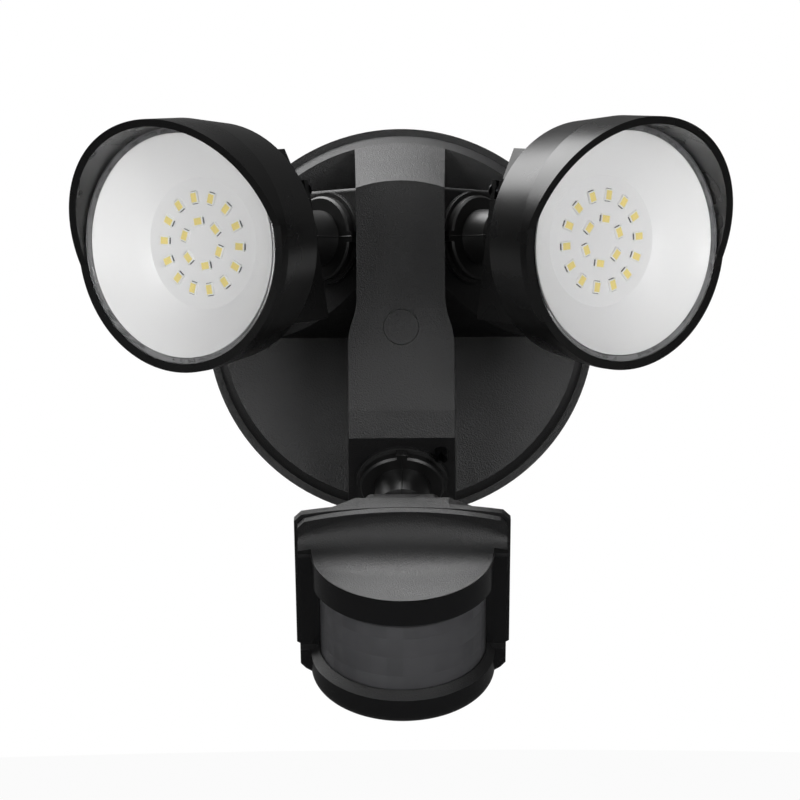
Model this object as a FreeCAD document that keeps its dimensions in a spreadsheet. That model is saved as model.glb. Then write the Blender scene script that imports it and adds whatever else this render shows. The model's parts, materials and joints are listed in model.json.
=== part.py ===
import FreeCAD, Part
import os
import re

import Sketcher

# Motion sensor security light: two ball-jointed lamp heads and a ball-jointed
# motion sensor on a round canopy that screws to a ceiling or wall box.
# Millimetres.  The wall is the plane y = 0, the light stands out along -Y and
# +Z is up.  Lamp heads, sensor head and arms are drawn about the centre of
# their ball, facing -Y, and then turned and set down where the ball is.

Vector = FreeCAD.Vector
Rotation = FreeCAD.Rotation
Placement = FreeCAD.Placement
ACROSS = Vector(1, 0, 0)
BACK = Vector(0, 1, 0)
FRONT = Vector(0, -1, 0)
UP = Vector(0, 0, 1)
DOWN = Vector(0, 0, -1)

SIZES = {
    # canopy and the spine that stands on it
    "canopy_radius": 62.0,
    "canopy_wall_radius": 59.7,
    "canopy_face_radius": 56.6,
    "flange_front": 4.0,
    "canopy_depth": 13.0,
    "canopy_dome": 1.2,
    "gasket_thick": 1.6,
    "gasket_inner_radius": 56.4,
    "shell": 2.5,
    "spine_depth": 47.0,
    "spine_half_top": 13.5,
    "spine_half_low": 16.2,
    "swell_top": 8.0,
    "swell_low": -9.0,
    "swell_bend": 22.0,
    "spine_top": 41.7,
    "crown_radius": 42.2,
    "crown_room": 53.8,
    "spine_ends_radius": 59.2,
    "spine_draft": 1.35,
    "spine_band": -28.0,
    "toe_depth": 46.0,
    "spine_room_half": 11.0,
    "shoulder_top": 40.5,
    "shoulder_low": 10.0,
    "shoulder_foot": -5.0,
    "shoulder_bend": 46.0,
    # where the three balls are
    "diagonal": 0.7071068,
    "lamp_ball_x": 38.6,
    "lamp_ball_depth": 48.6,
    "lamp_ball_z": 25.3,
    "sensor_ball_depth": 49.4,
    "sensor_ball_drop": 65.4,
    "left_yaw": -33.0,
    "left_roll": -7.0,
    "right_yaw": 35.0,
    "right_roll": 5.0,
    "lamp_tilt": 6.0,
    "sensor_tilt": 28.0,
    # ball arm
    "ball_radius": 9.0,
    "ball_nose": 4.0,
    "neck_radius": 5.0,
    "neck_foot_radius": 8.7,
    "neck_waist": 8.6,
    "neck_collar": 10.8,
    "neck_collar_radius": 8.2,
    "neck_length": 19.0,
    "disc_radius": 13.0,
    "disc_thick": 2.5,
    "disc_nub": 1.3,
    "nub_half": 1.6,
    "arm_gasket": 0.8,
    "boss_height": 0.6,
    "boss_radius": 14.4,
    "relief_radius": 15.8,
    "shank_radius": 5.0,
    "shank_length": 9.4,
    "wire_bore": 3.0,
    "lock_radius": 1.9,
    "lock_aside": 12.0,
    "lock_up": 12.3,
    "lock_stand": 3.6,
    "lock_sunk": 1.6,
    "notch_half": 0.9,
    "notch_tip": 0.1,
    "notch_deep": 1.4,
    "arm_nut_thick": 3.6,
    "arm_nut_radius": 8.0,
    # liner and socket round the ball
    "liner_inner": 9.05,
    "liner_outer": 10.0,
    "liner_back": 4.4,
    "liner_nose": 8.2,
    "socket_radius": 10.05,
    "socket_half": 11.3,
    "socket_back": 5.0,
    "retainer_half": 11.0,
    "retainer_thick": 4.0,
    "retainer_screw_at": 8.9,
    "small_screw": 1.25,
    "small_head": 2.4,
    # lamp head
    "box_back": 5.0,
    "cover_thick": 2.0,
    "box_half_low": 17.2,
    "box_half": 18.0,
    "box_low": -27.4,
    "ear_low": 8.6,
    "ear_top": 15.4,
    "ear_in": 14.2,
    "box_top": 25.0,
    "box_top_half": 11.5,
    "box_wall": 2.2,
    "ear_gap": 1.5,
    "ear_thick": 2.0,
    "ear_screw_aside": 16.5,
    "ear_screw_up": 11.6,
    "ear_nut_radius": 2.15,
    "ear_nut_thick": 1.9,
    "drum_back": 28.0,
    "drum_back_radius": 35.2,
    "drum_radius": 37.0,
    "drum_front": 48.0,
    "hood_reach": 61.0,
    "hood_wall": 2.2,
    "lens_radius": 34.4,
    "lens_thick": 2.0,
    "seal_thick": 1.2,
    "seal_inner": 32.9,
    "drum_room_radius": 33.1,
    "plate_ledge_radius": 28.5,
    "plate_back": 31.4,
    "plate_thick": 2.0,
    "board_radius": 21.0,
    "board_thick": 1.6,
    "reflector_mouth": 32.7,
    "reflector_floor": 19.4,
    "reflector_wall": 1.1,
    "reflector_bend": 60.0,
    "led_length": 3.5,
    "led_width": 2.8,
    "led_height": 0.8,
    "outer_ring": 13.65,
    "inner_ring": 6.6,
    # sensor head
    "flange_half": 32.5,
    "flange_plane": 12.3,
    "flange_thick": 2.5,
    "front_half": 31.4,
    "front_arch": 14.8,
    "front_shoulder": 11.2,
    "front_foot": -38.6,
    "rear_arch": 14.6,
    "rear_shoulder": 12.2,
    "rear_foot": -32.7,
    "groove_gap": 0.6,
    "groove_inset": 1.1,
    "back_flange": 2.5,
    "back_half": 26.7,
    "back_side_top": 8.5,
    "back_top_half": 14.0,
    "back_top": 13.9,
    "back_foot": -31.0,
    "back_wall": 2.2,
    "nose_radius": 27.6,
    "ring_radius": 28.1,
    "nose_room": 25.3,
    "lip_top": 0.9,
    "lip_low": -7.8,
    "brow_depth": 15.2,
    "brow_rise": 5.2,
    "brow_bend": 4.4,
    "brow_sag": 0.8,
    "window_top": -9.6,
    "window_low": -31.7,
    "ring_edge": -33.9,
    "ring_foot": -42.9,
    "ring_bend": 4.0,
    "pir_radius": 25.2,
    "pir_thick": 0.8,
    "pir_lap": 2.0,
    "sensor_board_plane": 10.5,
    "sensor_board_thick": 1.4,
    "sensor_board_half": 23.5,
    "sensor_post_aside": 20.5,
    "board_low": -28.6,
    "board_top": -2.4,
    "dial_radius": 3.6,
    "dial_height": 2.8,
    "dial_pitch": 12.5,
    "dial_depth": 21.0,
    "dial_shaft": 1.4,
    # what is behind the canopy
    "cover_radius": 52.0,
    "cover_plate": 1.5,
    "cover_back": 5.5,
    "cover_rim_front": 10.5,
    "post_radius": 3.2,
    "post_at": 33.0,
    "post_high": 8.0,
    "bolt_radius": 2.0,
    "bolt_head_radius": 3.9,
    "bolt_seat": 36.0,
    "bolt_up": -2.5,
    "tower_radius": 7.0,
    "plug_radius": 5.45,
    "plug_thick": 2.4,
    "bar_half_length": 52.0,
    "bar_half_width": 9.5,
    "bar_thick": 2.0,
    "bar_corner": 2.5,
    "ground_aside": 16.0,
    "slot_radius": 2.3,
    "slot_length": 12.0,
    "slot_spacing": 88.9,
    "grommet_x": 20.0,
    "grommet_z": -18.0,
    "grommet_hole": 5.0,
    "driver_half": 32.0,
    "driver_low": 15.5,
    "driver_high": 36.5,
    "driver_back": 12.5,
}

PLANES = {"front": "XZ_Plane", "top": "XY_Plane", "side": "YZ_Plane"}

document = FreeCAD.newDocument("security_light")
sheet = document.addObject("Spreadsheet::Sheet", "Sizes")
for row, (word, size) in enumerate(SIZES.items(), 1):
    sheet.set(f"A{row}", word)
    sheet.set(f"B{row}", str(size))
    sheet.setAlias(f"B{row}", word)
document.recompute()

parts = []


# ---------------------------------------------------------------- small tools
def formula(text):
    """The same text with each size word pointing at its cell."""
    functions = ("sqrt", "sin", "cos", "tan")

    def point(found):
        word = found.group(0)
        return word if word in functions else "Sizes." + word

    return re.sub(r"[a-z][a-z_]+", point, text)


def value(text):
    return float(sheet.evalExpression(formula(text)))


def bind(thing, name, text):
    thing.setExpression(name, formula(text))


def point(x, depth, z):
    """A point from three formulas; depth counts out from the wall or ball."""
    return Vector(value(x), -value(depth), value(z))


def keep(thing, label):
    """Names a finished sub-part; the name is its file's name too."""
    thing.Label = label
    parts.append(thing)
    return thing


def new_body(label):
    return keep(document.addObject("PartDesign::Body", label), label)


def add_arc(sketch, start, end, radius, sense):
    """A short arc from start to end; sense is the way it travels."""
    chord = end - start
    left = Vector(-chord.y, chord.x, 0).normalize()
    rise = (radius ** 2 - (chord.Length / 2) ** 2) ** 0.5
    side = 1 if sense == "ccw" else -1
    centre = (start + end) * 0.5 + left * rise * side
    first, last = (start, end) if sense == "ccw" else (end, start)
    circle = Part.Circle(centre, UP, radius)
    low = circle.parameter(first)
    high = circle.parameter(last)
    return sketch.addGeometry(Part.ArcOfCircle(circle, low, high), False)


def add_loop(sketch, corners):
    """A closed outline.  A corner is (across, up), or (across, up, radius,
    sense) where an arc leads on to the next corner."""
    places = [Vector(value(c[0]), value(c[1]), 0) for c in corners]
    count = len(corners)
    edges = []
    for index, corner in enumerate(corners):
        start = places[index]
        end = places[(index + 1) % count]
        if len(corner) == 4:
            edge = add_arc(sketch, start, end, value(corner[2]), corner[3])
            tail, head = (1, 2) if corner[3] == "ccw" else (2, 1)
        else:
            edge = sketch.addGeometry(Part.LineSegment(start, end), False)
            tail, head = 1, 2
        edges.append((edge, tail, head))
    for index, (edge, tail, head) in enumerate(edges):
        after, after_tail, _ = edges[(index + 1) % count]
        sketch.addConstraint(
            Sketcher.Constraint("Coincident", edge, head, after, after_tail)
        )
    for corner, place, (edge, tail, head) in zip(corners, places, edges):
        limits = [("DistanceX", corner[0], place.x), ("DistanceY", corner[1], place.y)]
        for kind, text, size in limits:
            limit = Sketcher.Constraint(kind, -1, 1, edge, tail, size)
            number = sketch.addConstraint(limit)
            bind(sketch, f"Constraints[{number}]", text)
        if len(corner) == 4:
            limit = Sketcher.Constraint("Radius", edge, value(corner[2]))
            number = sketch.addConstraint(limit)
            bind(sketch, f"Constraints[{number}]", corner[2])


def add_circle(sketch, across, up, radius):
    centre = Vector(value(across), value(up), 0)
    circle = Part.Circle(centre, UP, value(radius))
    edge = sketch.addGeometry(circle, False)
    limits = [
        (Sketcher.Constraint("DistanceX", -1, 1, edge, 3, centre.x), across),
        (Sketcher.Constraint("DistanceY", -1, 1, edge, 3, centre.y), up),
        (Sketcher.Constraint("Radius", edge, value(radius)), radius),
    ]
    for limit, text in limits:
        number = sketch.addConstraint(limit)
        bind(sketch, f"Constraints[{number}]", text)


def draw(body, plane, loops, offset="0", slide="0"):
    """A sketch on one of the body's own planes.  Loops are corner lists, or
    (across, up, radius) for a circle.  offset lifts it off the plane, and
    slide moves its zero along its own first axis."""
    sketch = body.newObject("Sketcher::SketchObject", body.Name + "_outline")
    roles = {item.Role: item for item in body.Origin.OriginFeatures}
    sketch.AttachmentSupport = [(roles[PLANES[plane]], "")]
    sketch.MapMode = "FlatFace"
    bind(sketch, "AttachmentOffset.Base.z", offset)
    bind(sketch, "AttachmentOffset.Base.x", slide)
    for loop in loops:
        if isinstance(loop, tuple):
            add_circle(sketch, *loop)
        else:
            add_loop(sketch, loop)
    return sketch


def pad(body, sketch, length, reverse=False, both=False, draft=None):
    """Raises a sketch by a length, along its normal unless reversed."""
    feature = body.newObject("PartDesign::Pad", body.Name + "_pad")
    feature.Profile = sketch
    bind(feature, "Length", length)
    feature.Reversed = reverse
    if both:
        feature.SideType = "Symmetric"
    if draft:
        bind(feature, "TaperAngle", draft)
    return feature


def cut(body, sketch, length, reverse=False, both=False):
    """Sinks a sketch, against its normal unless reversed, and checks that
    something went."""
    before = solid_so_far(body)
    feature = body.newObject("PartDesign::Pocket", body.Name + "_pocket")
    feature.Profile = sketch
    bind(feature, "Length", length)
    feature.Reversed = reverse
    if both:
        feature.SideType = "Symmetric"
    check_removed(body, feature, before)
    return feature


def turn(body, corners, angle="360"):
    """Turns a half outline of (radius, along) about the body's Y axis."""
    sketch = draw(body, "top", [corners])
    feature = body.newObject("PartDesign::Revolution", body.Name + "_turned")
    feature.Profile = sketch
    feature.ReferenceAxis = (sketch, ["V_Axis"])
    bind(feature, "Angle", angle)
    return feature


def bore_out(body, corners):
    """Cuts a turned space about the body's Y axis."""
    before = solid_so_far(body)
    sketch = draw(body, "top", [corners])
    feature = body.newObject("PartDesign::Groove", body.Name + "_space")
    feature.Profile = sketch
    feature.ReferenceAxis = (sketch, ["V_Axis"])
    check_removed(body, feature, before)
    return feature


def solid_so_far(body):
    document.recompute()
    return body.Shape.Volume


def check_removed(body, feature, before):
    document.recompute()
    if feature.Shape.isNull() or feature.Shape.Volume > before - 0.01:
        raise RuntimeError(f"{body.Label}: {feature.Name} cuts nothing")


def rod(body, kind, radius, length, start, direction):
    """Adds ("Additive") or drills ("Subtractive") a round rod from a point."""
    before = solid_so_far(body)
    feature = body.newObject(f"PartDesign::{kind}Cylinder", f"{body.Name}_rod")
    bind(feature, "Radius", radius)
    bind(feature, "Height", length)
    feature.Placement = Placement(start, Rotation(UP, direction))
    if kind == "Subtractive":
        check_removed(body, feature, before)
    return feature


def drill(body, radius, length, start, direction):
    return rod(body, "Subtractive", radius, length, start, direction)


def round_edges(body, radius, chosen):
    """Fillets the edges that the test picks, by their middle and their ends."""
    document.recompute()
    base = body.Tip
    names = []
    for number, edge in enumerate(base.Shape.Edges, 1):
        ends = [vertex.Point for vertex in edge.Vertexes]
        if chosen(edge.CenterOfMass, ends):
            names.append(f"Edge{number}")
    if not names:
        raise RuntimeError(f"{body.Label}: no edge to round")
    feature = body.newObject("PartDesign::Fillet", body.Name + "_rounding")
    feature.Base = (base, names)
    bind(feature, "Radius", radius)
    return feature


def mirrored(corners):
    """The corners, then their mirror images in reverse order."""
    other = [(f"-({across})", up) for across, up in reversed(corners)]
    return list(corners) + other


def rectangle(left, low, right, high):
    return [(left, low), (right, low), (right, high), (left, high)]


def cylinder(radius, length, start, direction):
    """A loose rod for a fastener or an electrical part."""
    thing = document.addObject("Part::Cylinder", "rod")
    bind(thing, "Radius", radius)
    bind(thing, "Height", length)
    thing.Placement = Placement(start, Rotation(UP, direction))
    return thing


def block(wide, deep, tall, middle, turned=None):
    """A loose box, centred across and up, whose back is at the middle."""
    thing = document.addObject("Part::Box", "block")
    bind(thing, "Length", wide)
    bind(thing, "Width", deep)
    bind(thing, "Height", tall)
    shift = Vector(-value(wide) / 2, -value(deep), -value(tall) / 2)
    spin = turned or Rotation()
    thing.Placement = Placement(middle + spin.multVec(shift), spin)
    return thing


def group(label, things, place=None):
    """Identical or belonging pieces that share one node, each its own solid."""
    bundle = document.addObject("Part::Compound", label)
    bundle.Links = things
    if place:
        bundle.Placement = place
    return keep(bundle, label)


def screw(seat, direction, shank, length, head, head_height):
    """A screw: seat is under the head, direction is the way it points."""
    stem = cylinder(shank, length, seat, direction)
    cap = document.addObject("Part::Cone", "head")
    bind(cap, "Radius1", head)
    bind(cap, "Radius2", f"({head}) * 0.72")
    bind(cap, "Height", head_height)
    cap.Placement = Placement(seat, Rotation(UP, direction * -1))
    fused = document.addObject("Part::MultiFuse", "screw")
    fused.Shapes = [stem, cap]
    return fused


def hex_nut(radius, thick, bore, seat, direction):
    prism = document.addObject("Part::Prism", "nut_blank")
    prism.Polygon = 6
    bind(prism, "Circumradius", radius)
    bind(prism, "Height", thick)
    prism.Placement = Placement(seat, Rotation(UP, direction))
    hole = cylinder(bore, f"{thick} + 2", seat - direction, direction)
    nut = document.addObject("Part::Cut", "nut")
    nut.Base = prism
    nut.Tool = hole
    return nut


# ------------------------------------------------------- where the balls stand
SPIN = {
    "lamp_left": Rotation(UP, -45),
    "lamp_right": Rotation(UP, 45),
    "sensor": Rotation(ACROSS, 45),
}
BALLS = {
    "lamp_left": point("-lamp_ball_x", "lamp_ball_depth", "lamp_ball_z"),
    "lamp_right": point("lamp_ball_x", "lamp_ball_depth", "lamp_ball_z"),
    "sensor": point("0", "sensor_ball_depth", "-sensor_ball_drop"),
}

LAMP_FACE = (
    "((lamp_ball_x + lamp_ball_depth) * diagonal"
    " - neck_length - disc_thick - arm_gasket - boss_height)"
)
SENSOR_FACE = (
    "((sensor_ball_depth + sensor_ball_drop) * diagonal"
    " - neck_length - disc_thick - arm_gasket - boss_height)"
)
FACE_BEHIND_BALL = "neck_length + disc_thick + arm_gasket + boss_height"
REAR_EDGE = "flange_plane - flange_thick - groove_gap - back_flange"


def arm_place(name):
    """An arm's own +Y runs from its ball back into the canopy."""
    return Placement(BALLS[name], SPIN[name])


def head_place(name):
    if name == "sensor":
        turned = Rotation(ACROSS, value("sensor_tilt"))
        return Placement(BALLS[name], turned)
    side = name.split("_")[1]
    yaw = Rotation(UP, value(f"{side}_yaw"))
    tilt = Rotation(ACROSS, value("lamp_tilt"))
    roll = Rotation(BACK, value(f"{side}_roll"))
    return Placement(BALLS[name], yaw * tilt * roll)


def on_arm(name, behind):
    """A point on an arm's axis, so far behind its ball, and the way back."""
    inward = SPIN[name].multVec(BACK)
    return BALLS[name] + inward * value(behind), inward


# -------------------------------------------------------------- canopy moulding
def canopy_blank(body):
    turn(body, [
        ("0", "-gasket_thick"),
        ("canopy_radius", "-gasket_thick"),
        ("canopy_radius", "-flange_front"),
        ("canopy_wall_radius", "-flange_front"),
        ("canopy_face_radius", "-canopy_depth",
         "(canopy_face_radius^2 + canopy_dome^2) / (2 * canopy_dome)", "cw"),
        ("0", "-(canopy_depth + canopy_dome)"),
    ])


def shoulders(body):
    """The block whose two 45 degree faces carry the lamp arms."""
    plan = mirrored([
        (f"{LAMP_FACE} / diagonal - 8", "-8"),
        ("spine_half_top - 1", f"-({LAMP_FACE} / diagonal - spine_half_top + 1)"),
    ])
    sketch = draw(body, "top", [plan], offset="shoulder_foot")
    pad(body, sketch, "shoulder_top - shoulder_foot")
    top = value("shoulder_top")
    round_edges(body, "1.2", lambda middle, ends:
                all(abs(end.z - top) < 0.01 for end in ends)
                and abs(abs(ends[0].x) - abs(ends[1].x)) > 10)
    slope = [
        ("-60", "shoulder_low + 4"),
        (f"-({LAMP_FACE} / diagonal - spine_half_top)", "shoulder_low",
         "shoulder_bend", "ccw"),
        ("-canopy_depth + 1", "shoulder_foot - 0.5"),
        ("-canopy_depth + 1", "shoulder_foot - 9"),
        ("-60", "shoulder_foot - 9"),
    ]
    cut(body, draw(body, "side", [slope]), "120", both=True)


def spine_blank(body):
    """Front outline of the spine, with the swell below the lamps, drawn at its
    front face and widening towards the wall."""
    side = [
        ("sqrt(spine_ends_radius^2 - spine_half_low^2)", "spine_half_low"),
    ]
    low = f"-{side[0][0]}"
    top = "sqrt(spine_ends_radius^2 - spine_half_top^2)"
    outline = [
        ("spine_half_low", low),
        ("spine_half_low", "swell_low", "swell_bend", "ccw"),
        ("(spine_half_low + spine_half_top) / 2", "(swell_low + swell_top) / 2",
         "swell_bend", "cw"),
        ("spine_half_top", "swell_top"),
        ("spine_half_top", top, "spine_ends_radius", "ccw"),
        ("-spine_half_top", top),
        ("-spine_half_top", "swell_top", "swell_bend", "cw"),
        ("-(spine_half_low + spine_half_top) / 2", "(swell_low + swell_top) / 2",
         "swell_bend", "ccw"),
        ("-spine_half_low", "swell_low"),
        ("-spine_half_low", low, "spine_ends_radius", "ccw"),
    ]
    sketch = draw(body, "front", [outline], offset="spine_depth")
    pad(body, sketch, "spine_depth - flange_front + 0.5", reverse=True,
        draft="spine_draft")


def spine_profile(body):
    """Trims the spine: above it carries on the cone of the canopy's edge up
    to a round crown, and below it ends in the 45 degree face that carries the
    sensor arm."""
    cone = [
        ("canopy_wall_radius + 0.05", "-flange_front"),
        ("canopy_face_radius + 0.05", "-canopy_depth"),
        ("crown_radius", "-spine_depth"),
        ("crown_radius", "-spine_depth - 5"),
        ("canopy_radius + 10", "-spine_depth - 5"),
        ("canopy_radius + 10", "-flange_front"),
    ]
    before = solid_so_far(body)
    sketch = draw(body, "top", [cone])
    away = body.newObject("PartDesign::Groove", "crown_cone")
    away.Profile = sketch
    away.ReferenceAxis = (sketch, ["V_Axis"])
    away.Angle = 180
    away.Reversed = True
    check_removed(body, away, before)
    below = [
        ("-spine_depth - 5", "spine_band"),
        ("-spine_depth", "spine_band"),
        ("-toe_depth", f"-({SENSOR_FACE} / diagonal - toe_depth)"),
        (f"-({SENSOR_FACE} / diagonal - 58.5)", "-58.5"),
        ("-flange_front + 0.5", "-60.4"),
        ("-flange_front + 0.5", "-canopy_radius - 8"),
        ("-spine_depth - 5", "-canopy_radius - 8"),
    ]
    cut(body, draw(body, "side", [below]), "90", both=True)


def canopy_space(body):
    """Hollows the moulding from behind to an even wall."""
    bore_out(body, [
        ("0", "-gasket_thick + 1"),
        ("gasket_inner_radius", "-gasket_thick + 1"),
        ("canopy_face_radius - shell + 0.4", "-cover_rim_front"),
        ("0", "-cover_rim_front"),
    ])
    profile = [
        ("-spine_depth + shell", "spine_top - shell"),
        ("-spine_depth + shell", "spine_band"),
        ("-toe_depth + shell",
         f"-(({SENSOR_FACE} - shell) / diagonal - toe_depth + shell)"),
        (f"-(({SENSOR_FACE} - shell) / diagonal - 54)", "-54"),
        ("-9", "-54"),
        ("-9", "crown_room"),
    ]
    cut(body, draw(body, "side", [profile]), "2 * spine_room_half", both=True)
    plan = mirrored([
        (f"({LAMP_FACE} - shell) / diagonal - 9", "-9"),
        ("spine_room_half - 1",
         f"-(({LAMP_FACE} - shell) / diagonal - spine_room_half + 1)"),
    ])
    sketch = draw(body, "top", [plan], offset="shoulder_low + 4")
    cut(body, sketch, "shoulder_top - shell - shoulder_low - 4", reverse=True)


def arm_seats(body):
    """A low round boss and a hole through the wall under each arm's disc, and
    on the spine's sides the room that the lamp discs need to turn."""
    for name in ("lamp_left", "lamp_right"):
        seat, inward = on_arm(name, "neck_length + disc_thick + arm_gasket")
        drill(body, "relief_radius", "4.5", seat, inward * -1)
    for name in BALLS:
        foot, inward = on_arm(name, f"{FACE_BEHIND_BALL} + 1")
        rod(body, "Additive", "boss_radius", "boss_height + 1", foot, inward * -1)
        drill(body, "shank_radius + 0.15", "7", foot + inward * 3, inward * -1)


def lock_screw_hole(body):
    beside, inward = lock_screw_foot()
    sunk = beside + inward * value("lock_sunk")
    drill(body, "lock_radius", "lock_sunk + 2", sunk, inward * -1)


def bolt_tower(body):
    """A tube from the front face to the rear cover, round the centre bolt."""
    rod(body, "Additive", "tower_radius", "spine_depth - 9",
        point("0", "spine_depth - 2", "bolt_up"), BACK)
    bores = [
        ("plug_radius + 0.05", "spine_depth + 1", "plug_thick + 1"),
        ("bolt_head_radius + 0.5", "spine_depth - 1", "spine_depth - 1 - bolt_seat"),
        ("bolt_radius + 0.3", "bolt_seat + 1", "bolt_seat"),
    ]
    for radius, depth, length in bores:
        drill(body, radius, length, point("0", depth, "bolt_up"), BACK)


def cover_posts(body):
    """Four posts under the canopy face that take the rear cover's screws."""
    for x in ("post_at", "-post_at"):
        for z in ("post_high", "-post_at"):
            rod(body, "Additive", "post_radius",
                "canopy_depth - 0.5 - cover_back - cover_plate",
                point(x, "canopy_depth - 0.5", z), BACK)
            drill(body, "small_screw", "4.5",
                  point(x, "cover_back + cover_plate + 4", z), BACK)


def make_housing():
    body = new_body("housing")
    canopy_blank(body)
    shoulders(body)
    spine_blank(body)
    spine_profile(body)
    canopy_space(body)
    arm_seats(body)
    lock_screw_hole(body)
    bolt_tower(body)
    cover_posts(body)


# ---------------------------------------------------------- behind the canopy
def make_wall_gasket():
    body = new_body("wall_gasket")
    turn(body, rectangle("gasket_inner_radius", "-gasket_thick",
                         "canopy_radius - 0.8", "0"))


def make_driver_cover():
    """A shallow pan that closes the driver's room off from the wall box."""
    body = new_body("driver_cover")
    turn(body, [
        ("0", "-cover_back - cover_plate"),
        ("cover_radius - 1.6", "-cover_back - cover_plate"),
        ("cover_radius - 1.6", "-cover_rim_front"),
        ("cover_radius", "-cover_rim_front"),
        ("cover_radius", "-cover_back"),
        ("0", "-cover_back"),
    ])
    front = "cover_back + cover_plate"
    for x in ("driver_half - 4", "-driver_half + 4"):
        for z in ("driver_low + 3", "driver_high - 3"):
            rod(body, "Additive", "2.2", "driver_back - cover_back - cover_plate + 0.5",
                point(x, "cover_back + cover_plate - 0.5", z), FRONT)
    drill(body, "bolt_radius + 0.4", "4", point("0", f"{front} + 1", "bolt_up"), BACK)
    drill(body, "grommet_hole", "4",
          point("grommet_x", f"{front} + 1", "grommet_z"), BACK)
    for x in ("post_at", "-post_at"):
        for z in ("post_high", "-post_at"):
            drill(body, "small_screw + 0.2", "4", point(x, f"{front} + 1", z), BACK)


def make_cover_fixings():
    screws = []
    for x in ("post_at", "-post_at"):
        for z in ("post_high", "-post_at"):
            screws.append(screw(point(x, "cover_back", z), FRONT,
                                "small_screw", "5.4", "small_head", "1.5"))
    group("driver_cover_screws", screws)


def make_grommet():
    """A rubber ring, grooved for the plate it sits in."""
    body = new_body("wire_grommet")
    turn(body, [
        ("grommet_hole - 2", "-cover_back - cover_plate - 1.2"),
        ("grommet_hole + 1.3", "-cover_back - cover_plate - 1.2"),
        ("grommet_hole + 1.3", "-cover_back - cover_plate"),
        ("grommet_hole", "-cover_back - cover_plate"),
        ("grommet_hole", "-cover_back"),
        ("grommet_hole + 1.3", "-cover_back"),
        ("grommet_hole + 1.3", "-cover_back + 1.2"),
        ("grommet_hole - 2", "-cover_back + 1.2"),
    ])
    body.Placement = Placement(point("grommet_x", "0", "grommet_z"), Rotation())


def make_driver():
    """The driver board on the cover's four pillars, and what stands on it."""
    body = new_body("driver_board")
    outline = rectangle("-driver_half", "driver_low", "driver_half", "driver_high")
    pad(body, draw(body, "front", [outline], offset="driver_back"), "board_thick")
    front = "driver_back + board_thick"
    pieces = [
        block("15", "14", "13", point("0", front, "26")),
        block("9", "8", "9", point("15.5", front, "20.8")),
        block("10", "4.5", "5", point("-15", front, "19.4")),
        cylinder("4", "12", point("-13.5", front, "29.5"), FRONT),
        cylinder("3.2", "9", point("14.5", front, "31"), FRONT),
        cylinder("2.5", "4", point("24", front, "28"), FRONT),
        cylinder("2.5", "4", point("-24", front, "25"), FRONT),
    ]
    group("driver_parts", pieces)


def make_crossbar():
    """The steel strap on the wall box, slotted for two box screws."""
    body = new_body("crossbar")
    outline = rectangle("-bar_half_length", "bolt_up - bar_half_width",
                        "bar_half_length", "bolt_up + bar_half_width")
    reach = "(slot_length / 2 - slot_radius)"
    loops = [outline, ("0", "bolt_up", "bolt_radius"),
             ("ground_aside", "bolt_up", "small_screw + 0.6")]
    for side in ("", "-"):
        middle = f"{side}slot_spacing / 2"
        loops.append([
            (f"{middle} - {reach}", "bolt_up - slot_radius"),
            (f"{middle} + {reach}", "bolt_up - slot_radius", "slot_radius * 1.0001", "ccw"),
            (f"{middle} + {reach}", "bolt_up + slot_radius"),
            (f"{middle} - {reach}", "bolt_up + slot_radius", "slot_radius * 1.0001", "ccw"),
        ])
    pad(body, draw(body, "front", loops), "bar_thick")
    end_x = value("bar_half_length")
    round_edges(body, "bar_corner", lambda middle, ends:
                abs(abs(middle.x) - end_x) < 0.1 and abs(middle.y + 1) < 0.2)
    group("ground_screw", [screw(point("ground_aside", "bar_thick", "bolt_up"), BACK,
                                 "small_screw + 0.6", "bar_thick", "3.4", "2.0")])


def make_centre_bolt():
    bolt = screw(point("0", "bolt_seat", "bolt_up"), BACK, "bolt_radius",
                 "bolt_seat - 0.2", "bolt_head_radius", "2.6")
    group("centre_bolt", [bolt])


def make_screw_plug():
    body = new_body("screw_plug")
    turn(body, [
        ("0", "-spine_depth"),
        ("plug_radius - 0.15", "-spine_depth"),
        ("plug_radius", "-spine_depth + 0.15"),
        ("plug_radius", "-spine_depth + plug_thick"),
        ("0", "-spine_depth + plug_thick"),
    ])
    body.Placement = Placement(point("0", "0", "bolt_up"), Rotation())


def make_arm_gaskets():
    rings = []
    for name in BALLS:
        seat, inward = on_arm(name, "neck_length + disc_thick")
        ring = cylinder("boss_radius - 0.2", "arm_gasket", seat, inward)
        hole = cylinder("shank_radius + 0.1", "arm_gasket + 2", seat - inward, inward)
        washer = document.addObject("Part::Cut", "arm_gasket")
        washer.Base = ring
        washer.Tool = hole
        rings.append(washer)
    group("arm_gaskets", rings)


def lock_screw_foot():
    foot, inward = on_arm("sensor", FACE_BEHIND_BALL)
    up = SPIN["sensor"].multVec(UP)
    beside = foot + ACROSS * value("lock_aside") + up * value("lock_up")
    return beside, inward


def make_lock_screw():
    """The small slotted screw beside the sensor arm's disc."""
    beside, inward = lock_screw_foot()
    outward = inward * -1
    sunk = beside + inward * value("lock_sunk")
    stem = cylinder("lock_radius", "lock_sunk + lock_stand", sunk, outward)
    slot = document.addObject("Part::Wedge", "screw_notch")
    limits = {
        "Xmin": "-notch_half", "Xmax": "notch_half",
        "X2min": "-notch_tip", "X2max": "notch_tip",
        "Ymin": "0", "Ymax": "notch_deep",
        "Zmin": "-lock_radius - 1", "Zmax": "lock_radius + 1",
        "Z2min": "-lock_radius - 1", "Z2max": "lock_radius + 1",
    }
    for name, text in limits.items():
        bind(slot, name, text)
    slot.Placement = Placement(beside + outward * value("lock_stand"), SPIN["sensor"])
    notched = document.addObject("Part::Cut", "notched")
    notched.Base = stem
    notched.Tool = slot
    group("sensor_lock_screw", [notched])


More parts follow.
